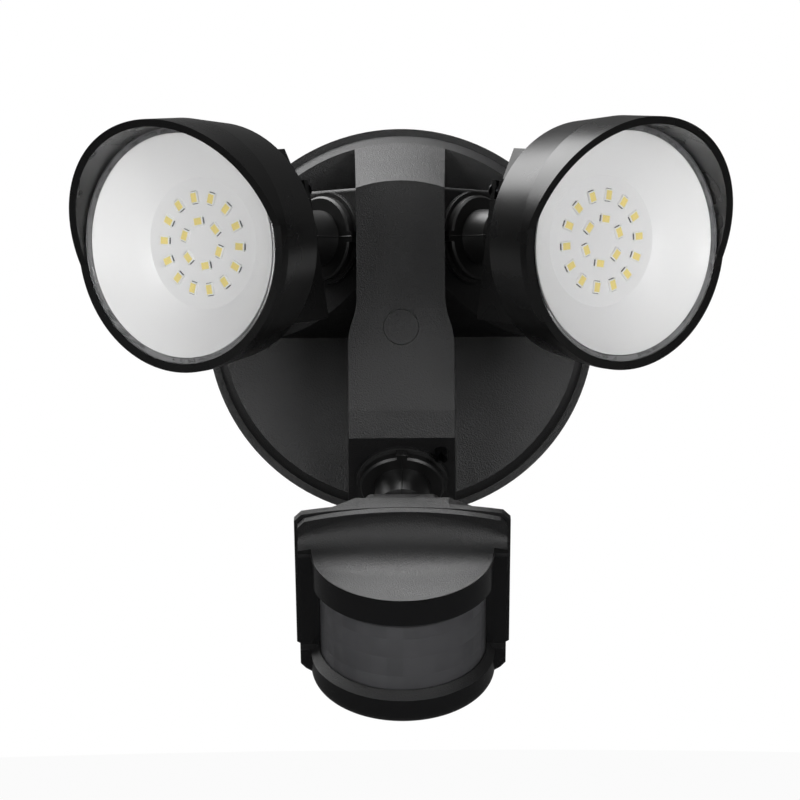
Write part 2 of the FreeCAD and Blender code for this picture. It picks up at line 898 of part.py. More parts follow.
# ------------------------------------------------------------------- ball arms
def make_arm(name):
    """Ball, neck, disc and threaded tail in one moulding, bored for wires."""
    body = new_body(f"{name}_arm")
    turn(body, [
        ("wire_bore", "-sqrt(ball_radius^2 - ball_nose^2)"),
        ("ball_nose", "-sqrt(ball_radius^2 - ball_nose^2)", "ball_radius", "ccw"),
        ("ball_radius", "0", "ball_radius", "ccw"),
        ("neck_radius", "sqrt(ball_radius^2 - neck_radius^2)"),
        ("neck_radius", "neck_waist"),
        ("neck_collar_radius", "neck_collar"),
        ("neck_foot_radius", "neck_length"),
        ("disc_radius - 0.6", "neck_length"),
        ("disc_radius", "neck_length + 0.6"),
        ("disc_radius", "neck_length + disc_thick"),
        ("shank_radius", "neck_length + disc_thick"),
        ("shank_radius", "neck_length + disc_thick + shank_length"),
        ("wire_bore", "neck_length + disc_thick + shank_length"),
    ])
    nub = rectangle("-nub_half", "disc_radius - 1.5", "nub_half",
                    "disc_radius + disc_nub")
    sketch = draw(body, "front", [nub], offset="-neck_length - disc_thick")
    turned = {"lamp_left": 90, "lamp_right": -90, "sensor": 0}[name]
    sketch.AttachmentOffset = Placement(sketch.AttachmentOffset.Base,
                                        Rotation(UP, -turned))
    pad(body, sketch, "disc_thick")
    body.Placement = arm_place(name)


def make_arm_nut(name):
    seat = Vector(0, value(f"{FACE_BEHIND_BALL} + shell"), 0)
    nut = hex_nut("arm_nut_radius", "arm_nut_thick", "shank_radius + 0.05", seat, BACK)
    group(f"{name}_arm_nut", [nut], arm_place(name))


def make_liner(name, place):
    """The friction shell between the ball and its socket."""
    body = new_body(f"{name}_ball_liner")
    turn(body, [
        ("sqrt(liner_inner^2 - liner_nose^2)", "-liner_nose"),
        ("sqrt(liner_outer^2 - liner_nose^2)", "-liner_nose", "liner_outer", "ccw"),
        ("liner_outer", "0", "liner_outer", "ccw"),
        ("sqrt(liner_outer^2 - liner_back^2)", "liner_back"),
        ("sqrt(liner_inner^2 - liner_back^2)", "liner_back", "liner_inner", "cw"),
        ("liner_inner", "0", "liner_inner", "cw"),
    ])
    body.Placement = place


# --------------------------------------------------- socket shared by the heads
def open_socket(body):
    """A half ball behind the centre and a straight way in from the front."""
    before = solid_so_far(body)
    ball = body.newObject("PartDesign::SubtractiveSphere", body.Name + "_socket")
    bind(ball, "Radius", "socket_radius")
    check_removed(body, ball, before)
    drill(body, "socket_radius", "12", Vector(0, 0, 0), FRONT)


def make_retainer(name, place):
    """The square ring screwed in over the ball, with the front of its seat."""
    body = new_body(f"{name}_ball_retainer")
    far = "box_back + retainer_thick"
    square = rectangle("-retainer_half", "-retainer_half", "retainer_half",
                       "retainer_half")
    pad(body, draw(body, "front", [square], offset="box_back"), "retainer_thick")
    before = solid_so_far(body)
    ball = body.newObject("PartDesign::SubtractiveSphere", body.Name + "_seat")
    bind(ball, "Radius", "socket_radius")
    check_removed(body, ball, before)
    for sign in ("", "-"):
        drill(body, "small_screw + 0.1", "retainer_thick + 2",
              point(f"{sign}retainer_screw_at", f"{far} + 1", f"{sign}retainer_screw_at"),
              BACK)
    body.Placement = place
    screws = []
    for sign in ("", "-"):
        seat = point(f"{sign}retainer_screw_at", far, f"{sign}retainer_screw_at")
        screws.append(screw(seat, BACK, "small_screw", "retainer_thick + 4",
                            "small_head - 0.2", "1.4"))
    group(f"{name}_retainer_screws", screws, place)


def retainer_holes(body):
    for sign in ("", "-"):
        start = point(f"{sign}retainer_screw_at", "box_back + 1",
                      f"{sign}retainer_screw_at")
        drill(body, "small_screw", "5.2", start, BACK)


# ------------------------------------------------------------------- lamp heads
def box_outline(inset="0"):
    """The rear box seen from behind: straight sides, a notch for the screw
    ears and corners cut back to a narrow top."""
    return mirrored([
        (f"box_half_low - {inset}", f"box_low + {inset}"),
        (f"box_half - {inset}", f"ear_low - {inset}"),
        (f"ear_in - {inset}", f"ear_low - {inset}"),
        (f"ear_in - {inset}", f"ear_top - {inset} * 0.4"),
        (f"box_top_half - {inset} * 0.7", f"box_top - {inset}"),
    ])


def ear(sign):
    return rectangle(f"{sign}(ear_in - 1.5)", "ear_low + 0.3", f"{sign}box_half",
                     "ear_top - 0.9")


def lamp_drum(body):
    turn(body, [
        ("0", "-drum_back"),
        ("drum_back_radius", "-drum_back"),
        ("drum_radius", "-drum_front + 3"),
        ("drum_radius", "-hood_reach"),
        ("drum_radius - hood_wall", "-hood_reach"),
        ("lens_radius + 0.1", "-drum_front"),
        ("lens_radius + 0.1", "-drum_front + lens_thick + seal_thick"),
        ("drum_room_radius", "-drum_front + lens_thick + seal_thick"),
        ("drum_room_radius", "-plate_back"),
        ("plate_ledge_radius", "-plate_back"),
        ("plate_ledge_radius", "-drum_back - box_wall"),
        ("0", "-drum_back - box_wall"),
    ])


def trim_hood(body):
    """Leaves the hood over the lens: nothing at the drum's middle height,
    its full reach at the top."""
    slope = "(hood_reach - drum_front) / drum_radius"
    away = [
        ("-drum_front", "-drum_radius - 2"),
        ("-drum_front", "0"),
        (f"-drum_front - {slope} * (drum_radius + 4)", "drum_radius + 4"),
        ("-hood_reach - 6", "drum_radius + 4"),
        ("-hood_reach - 6", "-drum_radius - 2"),
    ]
    cut(body, draw(body, "side", [away]), "2 * drum_radius + 4", both=True)


def make_lamp_housing(name, place):
    body = new_body(f"{name}_housing")
    lamp_drum(body)
    trim_hood(body)
    box = draw(body, "front", [box_outline()], offset="box_back")
    pad(body, box, "drum_back - box_back + 1")
    for sign in ("", "-"):
        plate = draw(body, "front", [ear(sign)], offset="box_back + ear_gap")
        pad(body, plate, "ear_thick")
    room = draw(body, "front", [box_outline("box_wall")], offset="box_back - 1")
    cut(body, room, "drum_back - box_back + box_wall + 2", reverse=True)
    for x in ("ear_screw_aside", "-ear_screw_aside"):
        drill(body, "small_screw + 0.1", "4",
              point(x, "box_back + ear_gap + ear_thick + 1", "ear_screw_up"), BACK)
    body.Placement = place


def make_rear_cover(name, place):
    """The flat cover with the ball socket's square block on its back."""
    body = new_body(f"{name}_rear_cover")
    plate = draw(body, "front", [box_outline()], offset="box_back - cover_thick")
    pad(body, plate, "cover_thick")
    for sign in ("", "-"):
        sketch = draw(body, "front", [ear(sign)], offset="box_back - cover_thick")
        pad(body, sketch, "cover_thick")
    square = rectangle("-socket_half", "-socket_half", "socket_half", "socket_half")
    sketch = draw(body, "front", [square], offset="-socket_back")
    pad(body, sketch, "socket_back + box_back")
    corner = value("socket_half")
    round_edges(body, "2.2", lambda middle, ends:
                abs(abs(middle.x) - corner) < 0.05 and abs(abs(middle.z) - corner) < 0.05)
    round_edges(body, "0.8", lambda middle, ends:
                all(abs(end.y - value("socket_back")) < 0.01 for end in ends))
    open_socket(body)
    retainer_holes(body)
    for x in ("ear_screw_aside", "-ear_screw_aside"):
        drill(body, "small_screw + 0.1", "4",
              point(x, "box_back + 1", "ear_screw_up"), BACK)
    body.Placement = place


def make_cover_screws(name, place):
    pieces = []
    for x in ("ear_screw_aside", "-ear_screw_aside"):
        seat = point(x, "box_back - cover_thick", "ear_screw_up")
        pieces.append(screw(seat, FRONT, "small_screw", "8.4", "small_head - 0.3", "1.2"))
        nut_seat = point(x, "box_back + ear_gap + ear_thick", "ear_screw_up")
        pieces.append(hex_nut("ear_nut_radius", "ear_nut_thick", "small_screw",
                              nut_seat, FRONT))
    group(f"{name}_cover_screws", pieces, place)


def make_cover_seal(name, place):
    body = new_body(f"{name}_cover_seal")
    loops = [box_outline("(box_wall + 0.05)"), box_outline("(box_wall + 0.8)")]
    pad(body, draw(body, "front", loops, offset="box_back"), "seal_thick")
    body.Placement = place


def make_lens(name, place):
    body = new_body(f"{name}_lens")
    turn(body, [
        ("0", "-drum_front"),
        ("lens_radius - 0.4", "-drum_front"),
        ("lens_radius", "-drum_front + 0.4"),
        ("lens_radius", "-drum_front + lens_thick"),
        ("0", "-drum_front + lens_thick"),
    ])
    body.Placement = place


def make_lens_seal(name, place):
    body = new_body(f"{name}_lens_seal")
    turn(body, rectangle("seal_inner", "-drum_front + lens_thick", "lens_radius",
                         "-drum_front + lens_thick + seal_thick"))
    body.Placement = place


def make_reflector(name, place):
    """The white cone from the LED board out to the lens."""
    body = new_body(f"{name}_reflector")
    floor = "-(plate_back + plate_thick + board_thick)"
    mouth = "-(drum_front - lens_thick)"
    turn(body, [
        ("reflector_floor", floor, "reflector_bend", "ccw"),
        ("reflector_mouth - 0.2", mouth),
        ("reflector_mouth", mouth),
        ("reflector_mouth", f"{mouth} + 1.3", "reflector_bend", "cw"),
        ("reflector_floor + reflector_wall + 0.4", floor),
    ])
    body.Placement = place


def make_led_board(name, place):
    body = new_body(f"{name}_led_board")
    back = "-(plate_back + plate_thick)"
    turn(body, [
        ("0", f"{back} - board_thick"),
        ("board_radius", f"{back} - board_thick"),
        ("board_radius", back),
        ("0", back),
    ])
    body.Placement = place


def make_leds(name, place):
    """Fourteen packages radially in the outer ring and six round the inner."""
    rings = [
        (14, "outer_ring", "led_width", "led_length"),
        (6, "inner_ring", "led_length", "led_width"),
    ]
    packages = []
    foot = value("plate_back + plate_thick + board_thick")
    for count, radius, wide, tall in rings:
        for number in range(count):
            spin = Rotation(BACK, 360 / count * number)
            middle = Vector(0, -foot, 0) + spin.multVec(UP) * value(radius)
            packages.append(block(wide, "led_height", tall, middle, spin))
    group(f"{name}_leds", packages, place)


def make_heat_plate(name, place):
    body = new_body(f"{name}_heat_plate")
    turn(body, [
        ("3", "-plate_back - plate_thick"),
        ("drum_room_radius - 0.1", "-plate_back - plate_thick"),
        ("drum_room_radius - 0.1", "-plate_back"),
        ("3", "-plate_back"),
    ])
    body.Placement = place


def make_lamp(name):
    place = head_place(name)
    make_lamp_housing(name, place)
    make_rear_cover(name, place)
    make_cover_screws(name, place)
    make_cover_seal(name, place)
    make_retainer(name, place)
    make_lens(name, place)
    make_lens_seal(name, place)
    make_reflector(name, place)
    make_led_board(name, place)
    make_leds(name, place)
    make_heat_plate(name, place)


# ------------------------------------------------------------------ sensor head
def arched(right, bend):
    """A right half outline, mirrored, with an arc over its last point."""
    loop = mirrored(right)
    last = len(right) - 1
    loop[last] = (right[last][0], right[last][1], bend, "ccw")
    return loop


def front_outline():
    """The front case's plate: arched top, straight sides, corners cut in to
    the ring at its foot."""
    right = [
        ("nose_radius", "front_foot - 3.2"),
        ("front_half - 1.6", "front_foot - 1.8"),
        ("front_half", "front_foot"),
        ("front_half", "front_shoulder - 1.8"),
        ("front_half - 2", "front_shoulder + 0.3"),
    ]
    return arched(right, arch_bend("front_half - 2",
                                   "front_arch - front_shoulder - 0.3"))


def rear_outline(inset="0"):
    """The rear case's plate, a little larger than the front one."""
    right = [
        (f"back_half + 2.6 - {inset}", f"rear_foot - 2.4 + {inset}"),
        (f"front_half - 0.5 - {inset}", f"rear_foot - 1 + {inset}"),
        (f"flange_half - {inset}", f"rear_foot + {inset}"),
        (f"flange_half - {inset}", f"rear_shoulder - 2.2 - {inset}"),
        (f"flange_half - 2.2 - {inset}", f"rear_shoulder - {inset}"),
    ]
    return arched(right, arch_bend("flange_half - 2.2",
                                   "rear_arch - rear_shoulder"))


def arch_bend(half, rise):
    return f"((({half})^2 + ({rise})^2) / (2 * ({rise})))"


def back_outline(inset="0"):
    """The rear case's box, low at the sides and high over the ball socket."""
    return mirrored([
        (f"back_half - {inset}", f"back_foot + {inset}"),
        (f"back_half - {inset}", f"back_side_top - {inset} * 0.8"),
        (f"back_top_half - {inset} * 0.4", f"back_top - {inset}"),
    ])


def nose_outline():
    """Half section of the nose: flat lip, window band and rounded ring."""
    return [
        ("0", "lip_top"),
        ("0", "ring_foot"),
        ("-ring_radius + ring_bend", "ring_foot", "ring_bend", "cw"),
        ("-ring_radius", "ring_foot + ring_bend"),
        ("-ring_radius", "ring_edge"),
        ("-nose_radius + 2", "window_low"),
        ("-nose_radius + 3.4", "window_low"),
        ("-nose_radius + 3.4", "window_top"),
        ("-nose_radius + 2", "window_top"),
        ("-nose_radius", "lip_low"),
        ("-nose_radius", "lip_top"),
    ]


def brow(body):
    """The hollow slope from the plate's face down to the lip's edge, as wide
    as the plate where it leaves it."""
    reach = "sqrt(nose_radius^2 - (brow_depth - flange_plane)^2)"
    plan = [
        ("-front_half", "-flange_plane + 1"),
        ("-front_half", "-brow_depth"),
        (f"-{reach}", "-brow_depth", "nose_radius", "ccw"),
        (reach, "-brow_depth"),
        ("front_half", "-brow_depth"),
        ("front_half", "-flange_plane + 1"),
    ]
    foot = "lip_top - 0.9"
    pad(body, draw(body, "top", [plan], offset=foot), "brow_rise + brow_sag + 3")
    low = "lip_top + brow_sag"
    away = [
        ("-flange_plane", f"{low} + brow_bend", "brow_bend", "cw"),
        ("-flange_plane - brow_bend", low),
        ("-flange_plane - nose_radius - 2", "lip_top - 0.1"),
        ("-flange_plane - nose_radius - 2", "front_arch + 5"),
        ("-flange_plane", "front_arch + 5"),
    ]
    cut(body, draw(body, "side", [away]), "2 * front_half + 4", both=True)


def make_front_case():
    body = new_body("sensor_front_case")
    nose = draw(body, "side", [nose_outline()], slide="-flange_plane")
    feature = body.newObject("PartDesign::Revolution", "nose")
    feature.Profile = nose
    feature.ReferenceAxis = (nose, ["V_Axis"])
    feature.Angle = 360
    behind = rectangle("-40", "-60", "40", "40")
    cut(body, draw(body, "front", [behind], offset="flange_plane"), "60")
    plate = draw(body, "front", [front_outline()],
                 offset="flange_plane - flange_thick")
    pad(body, plate, "flange_thick")
    brow(body)
    room = [
        ("0", "lip_top - 2.4"),
        ("0", "ring_foot + 2.2"),
        ("-nose_room + 2", "ring_foot + 2.2"),
        ("-nose_room", "ring_foot + 4.2"),
        ("-nose_room", "lip_top - 4.4"),
        ("-nose_room + 2", "lip_top - 2.4"),
    ]
    before = solid_so_far(body)
    sketch = draw(body, "side", [room], slide="-flange_plane")
    space = body.newObject("PartDesign::Groove", "nose_room")
    space.Profile = sketch
    space.ReferenceAxis = (sketch, ["V_Axis"])
    check_removed(body, space, before)
    recess = [back_outline("back_wall")]
    cut(body, draw(body, "front", recess, offset="flange_plane - flange_thick"),
        "1.1", reverse=True)
    for number in (-1, 0, 1):
        drill(body, "dial_shaft + 0.3", "6",
              point(f"{number} * dial_pitch", "dial_depth", "ring_foot - 1"), UP)
    for x, z in case_screw_places():
        drill(body, "small_screw", "2.0", point(x, "flange_plane - 0.7", z), BACK)
    body.Placement = head_place("sensor")


def case_screw_places():
    return [
        (f"{sign}(flange_half - 3.6)", up)
        for sign in ("", "-")
        for up in ("front_shoulder - 3", "rear_foot + 6")
    ]


def make_rear_case():
    body = new_body("sensor_rear_case")
    plate = draw(body, "front", [rear_outline()], offset=REAR_EDGE)
    pad(body, plate, "back_flange")
    sketch = draw(body, "front", [back_outline()], offset="box_back - 2.7")
    pad(body, sketch, f"{REAR_EDGE} - box_back + 2.7 + 0.5")
    square = rectangle("-socket_half", "-socket_half", "socket_half", "socket_half")
    sketch = draw(body, "front", [square], offset="-socket_back")
    pad(body, sketch, "socket_back + box_back")
    corner = value("socket_half")
    round_edges(body, "2.2", lambda middle, ends:
                abs(abs(middle.x) - corner) < 0.05 and abs(abs(middle.z) - corner) < 0.05)
    round_edges(body, "0.8", lambda middle, ends:
                all(abs(end.y - value("socket_back")) < 0.01 for end in ends))
    room = back_outline("back_wall")
    sketch = draw(body, "front", [room], offset="box_back")
    cut(body, sketch, "10", reverse=True)
    for x in ("sensor_post_aside", "-sensor_post_aside"):
        for z in ("board_top - 2.7", "board_low + 3.2"):
            rod(body, "Additive", "2.0", "sensor_board_plane - box_back + 0.5",
                point(x, "box_back - 0.5", z), FRONT)
    open_socket(body)
    retainer_holes(body)
    for x, z in case_screw_places():
        drill(body, "small_screw + 0.1", "6", point(x, "flange_plane", z), BACK)
    body.Placement = head_place("sensor")


def make_case_fixings():
    place = head_place("sensor")
    screws = [
        screw(point(x, REAR_EDGE, z), FRONT, "small_screw", "4.9", "small_head - 0.3", "1.4")
        for x, z in case_screw_places()
    ]
    group("sensor_case_screws", screws, place)
    body = new_body("sensor_case_seal")
    loops = [rear_outline("groove_inset"), back_outline("(back_wall - 0.9)")]
    for x, z in case_screw_places():
        loops.append((x, z, "small_screw + 0.1"))
    sketch = draw(body, "front", loops, offset="flange_plane - flange_thick - groove_gap")
    pad(body, sketch, "groove_gap")
    body.Placement = place


def make_pir_lens():
    """The ribbed half round window; its edges lie behind the case's lips."""
    body = new_body("sensor_pir_lens")
    wall = rectangle("-pir_radius", "window_low - pir_lap",
                     "-pir_radius + pir_thick", "window_top + pir_lap")
    sketch = draw(body, "side", [wall], slide="-flange_plane")
    feature = body.newObject("PartDesign::Revolution", "pir_turned")
    feature.Profile = sketch
    feature.ReferenceAxis = (sketch, ["V_Axis"])
    feature.Angle = 180
    feature.Midplane = True
    body.Placement = head_place("sensor")


def make_sensor_inside():
    place = head_place("sensor")
    body = new_body("sensor_board")
    outline = rectangle("-sensor_board_half", "board_low", "sensor_board_half",
                        "board_top")
    sketch = draw(body, "front", [outline], offset="sensor_board_plane")
    pad(body, sketch, "sensor_board_thick")
    body.Placement = place
    front = "sensor_board_plane + sensor_board_thick"
    can = [
        ("0", f"-({front}) - 4.2"),
        ("4.1", f"-({front}) - 4.2"),
        ("4.1", f"-({front}) - 0.8"),
        ("4.6", f"-({front}) - 0.8"),
        ("4.6", f"-({front})"),
        ("0", f"-({front})"),
    ]
    pyro = new_body("sensor_pyro_element")
    turn(pyro, can)
    middle = Vector(0, 0, value("(window_top + window_low) / 2"))
    pyro.Placement = place * Placement(middle, Rotation())
    cell = cylinder("2.5", "2.2", point("14", front, "window_top - 3"), FRONT)
    group("sensor_light_cell", [cell], place)


def make_dials():
    """Time, light level and range, side by side under the sensor."""
    place = head_place("sensor")
    names = ("time", "lux", "range")
    for number, name in zip((-1, 0, 1), names):
        body = new_body(f"sensor_{name}_dial")
        turn(body, [
            ("0", "-dial_height"),
            ("dial_radius - 0.5", "-dial_height"),
            ("dial_radius", "-dial_height + 0.5"),
            ("dial_radius", "-0.3"),
            ("dial_shaft", "-0.3"),
            ("dial_shaft", "5"),
            ("0", "5"),
        ])
        slot = rectangle("-dial_radius - 1", "-0.5", "dial_radius + 1", "0.5")
        cut(body, draw(body, "front", [slot], offset="dial_height - 1"), "3",
            reverse=True)
        foot = point(f"{number} * dial_pitch", "dial_depth", "ring_foot")
        body.Placement = place * Placement(foot, Rotation(BACK, UP))


def make_sensor():
    make_front_case()
    make_rear_case()
    make_case_fixings()
    make_pir_lens()
    make_sensor_inside()
    make_retainer("sensor", head_place("sensor"))
    make_dials()


# --------------------------------------------------------------------- build all
def make_all():
    make_housing()
    make_wall_gasket()
    make_driver_cover()
    make_cover_fixings()
    make_grommet()
    make_driver()
    make_crossbar()
    make_centre_bolt()
    make_screw_plug()
    make_arm_gaskets()
    make_lock_screw()
    for name in BALLS:
        make_arm(name)
        make_arm_nut(name)
        make_liner(name, head_place(name))
    for name in ("lamp_left", "lamp_right"):
        make_lamp(name)
    make_sensor()


def check_and_write():
    document.recompute()
    for thing in document.Objects:
        if "Invalid" in thing.State or "Error" in thing.State:
            raise RuntimeError(f"{thing.Label} did not build")
    for part in parts:
        if part.Shape.isNull() or not part.Shape.isValid():
            raise RuntimeError(f"{part.Label} has no valid shape")
    os.makedirs("parts", exist_ok=True)
    for part in parts:
        part.Shape.exportStep(f"parts/{part.Label}.step")
    print(len(parts), "sub-parts written")


make_all()
check_and_write()
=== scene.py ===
# %% [markdown]
# A motion sensor security light for a porch or garage wall.  Its black
# plastic canopy, two lamp heads and sensor come in as fixed CAD meshes.  This
# lesson gives each of them its real finish, models the small pieces that a CAD
# solid is too plain for (light packages, reflectors, the sensor's window of
# little lenses and its hollow brow, screws and dials), and sets up a camera and
# soft studio light to photograph the light in.

# %% Load the frame and note its size
import bpy
import json
import math
from mathutils import Matrix, Vector


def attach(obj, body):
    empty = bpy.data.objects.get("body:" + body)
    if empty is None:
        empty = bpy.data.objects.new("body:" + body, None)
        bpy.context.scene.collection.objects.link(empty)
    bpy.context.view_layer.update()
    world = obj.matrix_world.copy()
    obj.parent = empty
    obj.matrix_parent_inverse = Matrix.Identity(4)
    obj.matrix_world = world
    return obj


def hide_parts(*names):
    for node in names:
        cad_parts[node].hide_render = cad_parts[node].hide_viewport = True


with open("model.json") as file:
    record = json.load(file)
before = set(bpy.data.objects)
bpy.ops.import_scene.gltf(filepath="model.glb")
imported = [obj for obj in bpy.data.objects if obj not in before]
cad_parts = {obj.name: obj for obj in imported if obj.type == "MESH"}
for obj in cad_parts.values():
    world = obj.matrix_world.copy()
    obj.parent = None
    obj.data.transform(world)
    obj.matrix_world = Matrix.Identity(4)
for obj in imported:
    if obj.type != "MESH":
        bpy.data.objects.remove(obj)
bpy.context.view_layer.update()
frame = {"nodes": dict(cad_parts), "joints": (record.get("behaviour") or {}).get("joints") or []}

nodes = frame["nodes"]

# %% [markdown]
# The light was photographed square on, with a long lens, so the picture has
# almost no perspective.  A 126 mm lens at 0.9 m gives the same frame.  The
# camera stands a little below the canopy's centre, and it was not quite level:
# the whole light leans about a third of a degree to the left in the picture,
# so the camera is rolled by as much to the right.

# %% The camera
MM = 0.001
CAMERA_AT = (-0.46 * MM, -0.9, -24.8 * MM)
CAMERA_ROLL = 0.37
LENS = 125.9
NEAREST_SEEN = 0.05

bpy.ops.object.camera_add(
    location=CAMERA_AT, rotation=(math.radians(90), math.radians(CAMERA_ROLL), 0))
camera = bpy.context.object
camera.data.lens = LENS
camera.data.clip_start = NEAREST_SEEN
bpy.context.scene.camera = camera
print("camera with a", round(camera.data.lens), "mm lens")

# %% [markdown]
# Everything below is placed in the light's own frame, in metres.  The heads
# stand at odd angles on their ball joints, so a piece is modelled facing
# straight out (-Y) about the ball's centre and then set down with the head's
# own frame, which is read from the pan and tilt joints in the record.

# %% Where the heads stand
joints = {joint["name"]: joint for joint in frame["joints"]}


def head_frame(head):
    """The matrix of a head's own frame, from its two upper joints."""
    up = Vector(joints[head + "_pan"]["axis"]).normalized()
    across = Vector(joints[head + "_tilt"]["axis"]).normalized()
    place = Matrix((across, up.cross(across), up)).transposed().to_4x4()
    place.translation = Vector(joints[head + "_pan"]["pos_m"])
    return place


LAMPS = ("lamp_left", "lamp_right")
for head in LAMPS + ("sensor",):
    print(head, [round(c / MM, 1) for c in head_frame(head).translation])

# %% [markdown]
# Colours are given as the sRGB hex values a painter would pick.  Blender's
# shaders want linear light, so one function turns them.  Another small one adds
# any node with its settings, and links it where an input is another socket.  A
# third makes the bare material that the nodes go into.


# %% Three helpers for materials
def colour(hex_value):
    """A linear colour with full alpha from an sRGB hex value."""
    parts = [int(hex_value[i:i + 2], 16) / 255 for i in (0, 2, 4)]
    linear = [c / 12.92 if c <= 0.04045 else ((c + 0.055) / 1.055) ** 2.4
              for c in parts]
    return linear + [1]


def add_node(tree, kind, inputs=None, **settings):
    """A new node, with its settings and with its inputs set or linked."""
    node = tree.nodes.new(kind)
    for word, setting in settings.items():
        setattr(node, word, setting)
    for word, given in (inputs or {}).items():
        if isinstance(given, bpy.types.NodeSocket):
            tree.links.new(given, node.inputs[word])
        else:
            node.inputs[word].default_value = given
    return node


def new_material(name):
    """A material with only its Principled shader and output: both are kept."""
    material = bpy.data.materials.new(name)
    material.use_nodes = True
    return material, material.node_tree, material.node_tree.nodes["Principled BSDF"]


BLACK_ABS = "0b0b0c"
print("black plastic is", [round(c, 4) for c in colour(BLACK_ABS)])

# %% [markdown]
# Most of the light is moulded ABS with black pigment right through.  What the
# eye sees is the mould's own surface: the canopy and sensor cases came from
# a spark-eroded mould, so they are covered in fine rounded pits that break the
# light up, and the lamp heads and arms came from a stoned mould and
# shine softly.  Both are one recipe with other numbers: a noise as coarse as
# the grain drives a bump, and a slow noise makes the gloss a little uneven, as
# where the plastic filled the mould faster.  The real grain is about 0.1 mm, too
# fine for this picture, where a pixel is 0.3 mm, so it is drawn about five times
# as coarse.

# %% Moulded plastics and rubbers
ABS_IOR = 1.54
FLOW_SIZE = 14  # mm, the size of the slow clouds in the gloss
PIT_ROUGHNESS = 0.6
NOISE_SPAN = (0.3, 0.7)  # a noise seldom leaves this range


def moulded(name, hex_value, rough, spread, grain, height, ior=ABS_IOR):
    """Moulded plastic: rough is its mean roughness and spread how uneven it
    is, grain the size of the surface's pits in mm and height their depth."""
    material, tree, shader = new_material(name)
    place = add_node(tree, "ShaderNodeTexCoord").outputs["Object"]
    flow = add_node(tree, "ShaderNodeTexNoise",
                    {"Vector": place, "Scale": 1 / (FLOW_SIZE * MM), "Detail": 2.0})
    pits = add_node(tree, "ShaderNodeTexNoise",
                    {"Vector": place, "Scale": 1 / (grain * MM), "Detail": 3.0,
                     "Roughness": PIT_ROUGHNESS})
    gloss = add_node(tree, "ShaderNodeMapRange",
                     {"Value": flow.outputs["Fac"],
                      "From Min": NOISE_SPAN[0], "From Max": NOISE_SPAN[1],
                      "To Min": rough - spread, "To Max": rough + spread})
    bump = add_node(tree, "ShaderNodeBump",
                    {"Height": pits.outputs["Fac"], "Distance": height * MM,
                     "Strength": 1.0})
    tree.links.new(gloss.outputs["Result"], shader.inputs["Roughness"])
    tree.links.new(bump.outputs["Normal"], shader.inputs["Normal"])
    shader.inputs["Base Color"].default_value = colour(hex_value)
    shader.inputs["IOR"].default_value = ior
    return material


# Colour, roughness, its spread, pit size and depth in mm, and IOR where not ABS.
PLASTICS = {
    "spark_eroded_black_abs": (BLACK_ABS, 0.46, 0.04, 0.48, 0.22),
    "satin_black_abs": ("090909", 0.28, 0.02, 0.6, 0.012),
    "black_epdm_rubber": ("141414", 0.72, 0.06, 1.1, 0.06, 1.5),
    "grey_silicone_rubber": ("8e8e8f", 0.42, 0.05, 0.9, 0.02, 1.42),
    "natural_black_acetal": ("181819", 0.34, 0.05, 0.5, 0.012, 1.48),
    "green_solder_mask": ("14572f", 0.33, 0.05, 0.7, 0.02, 1.52),
    "component_epoxy": ("23232a", 0.46, 0.08, 0.5, 0.02, 1.55),
    "amber_cell_epoxy": ("8a4a1c", 0.2, 0.04, 0.7, 0.01, 1.53),
    "moulded_grey_nylon": ("3a3a3c", 0.40, 0.05, 0.4, 0.02, 1.53),
}
finishes = {name: moulded(name, *numbers) for name, numbers in PLASTICS.items()}
print(len(finishes), "moulded finishes")

# %% [markdown]
# Two mouldings need a little more.  The sensor's front case is grained only on
# its roof and on the slope under its window; the band round the roof's edge and
# the ring at its foot were polished in the mould.  The finish follows the
# height along the sensor's own axis: a dot product with that axis gives the
# height, and a ramp with hard steps says where the grain is.  The arms are
# moulded in two halves and keep the fine raised line where the halves of the
# mould met, which is a narrow ridge in the bump on the plane that splits them.

# %% The sensor's front case
# Heights over the ball in mm, each with a 1 where it is grained from there up.
GRAINED_HEIGHTS = ((-45.0, 0), (-33.9, 1), (-31.7, 0), (0.6, 1))
RAMP_SPAN = (-50.0, 20.0)
POLISHED_ROUGHNESS = 0.2
_, grained_roughness, _, grain_size, grain_depth = PLASTICS["spark_eroded_black_abs"]

front_case, tree, shader = new_material("grained_and_polished_black_abs")
place = add_node(tree, "ShaderNodeTexCoord").outputs["Object"]
sensor_up = head_frame("sensor").to_3x3().col[2]
ball_height = sensor_up.dot(head_frame("sensor").translation)
height = add_node(tree, "ShaderNodeVectorMath", {0: place, 1: sensor_up},
                  operation="DOT_PRODUCT")
along = add_node(tree, "ShaderNodeMapRange",
                 {"Value": height.outputs["Value"],
                  "From Min": ball_height + RAMP_SPAN[0] * MM,
                  "From Max": ball_height + RAMP_SPAN[1] * MM})
grained = add_node(tree, "ShaderNodeValToRGB", {"Fac": along.outputs["Result"]})
grained.color_ramp.interpolation = "CONSTANT"
for number, (rise, amount) in enumerate(GRAINED_HEIGHTS):
    share = (rise - RAMP_SPAN[0]) / (RAMP_SPAN[1] - RAMP_SPAN[0])
    steps = grained.color_ramp.elements
    step = steps[number] if number < 2 else steps.new(share)
    step.position = share
    step.color = (amount, amount, amount, 1)
pits = add_node(tree, "ShaderNodeTexNoise",
                {"Vector": place, "Scale": 1 / (grain_size * MM), "Detail": 3.0,
                 "Roughness": PIT_ROUGHNESS})
bump = add_node(tree, "ShaderNodeBump",
                {"Height": pits.outputs["Fac"], "Distance": grain_depth * MM,
                 "Strength": grained.outputs["Color"]})
gloss = add_node(tree, "ShaderNodeMapRange",
                 {"Value": grained.outputs["Color"],
                  "To Min": POLISHED_ROUGHNESS, "To Max": grained_roughness})
tree.links.new(gloss.outputs["Result"], shader.inputs["Roughness"])
tree.links.new(bump.outputs["Normal"], shader.inputs["Normal"])
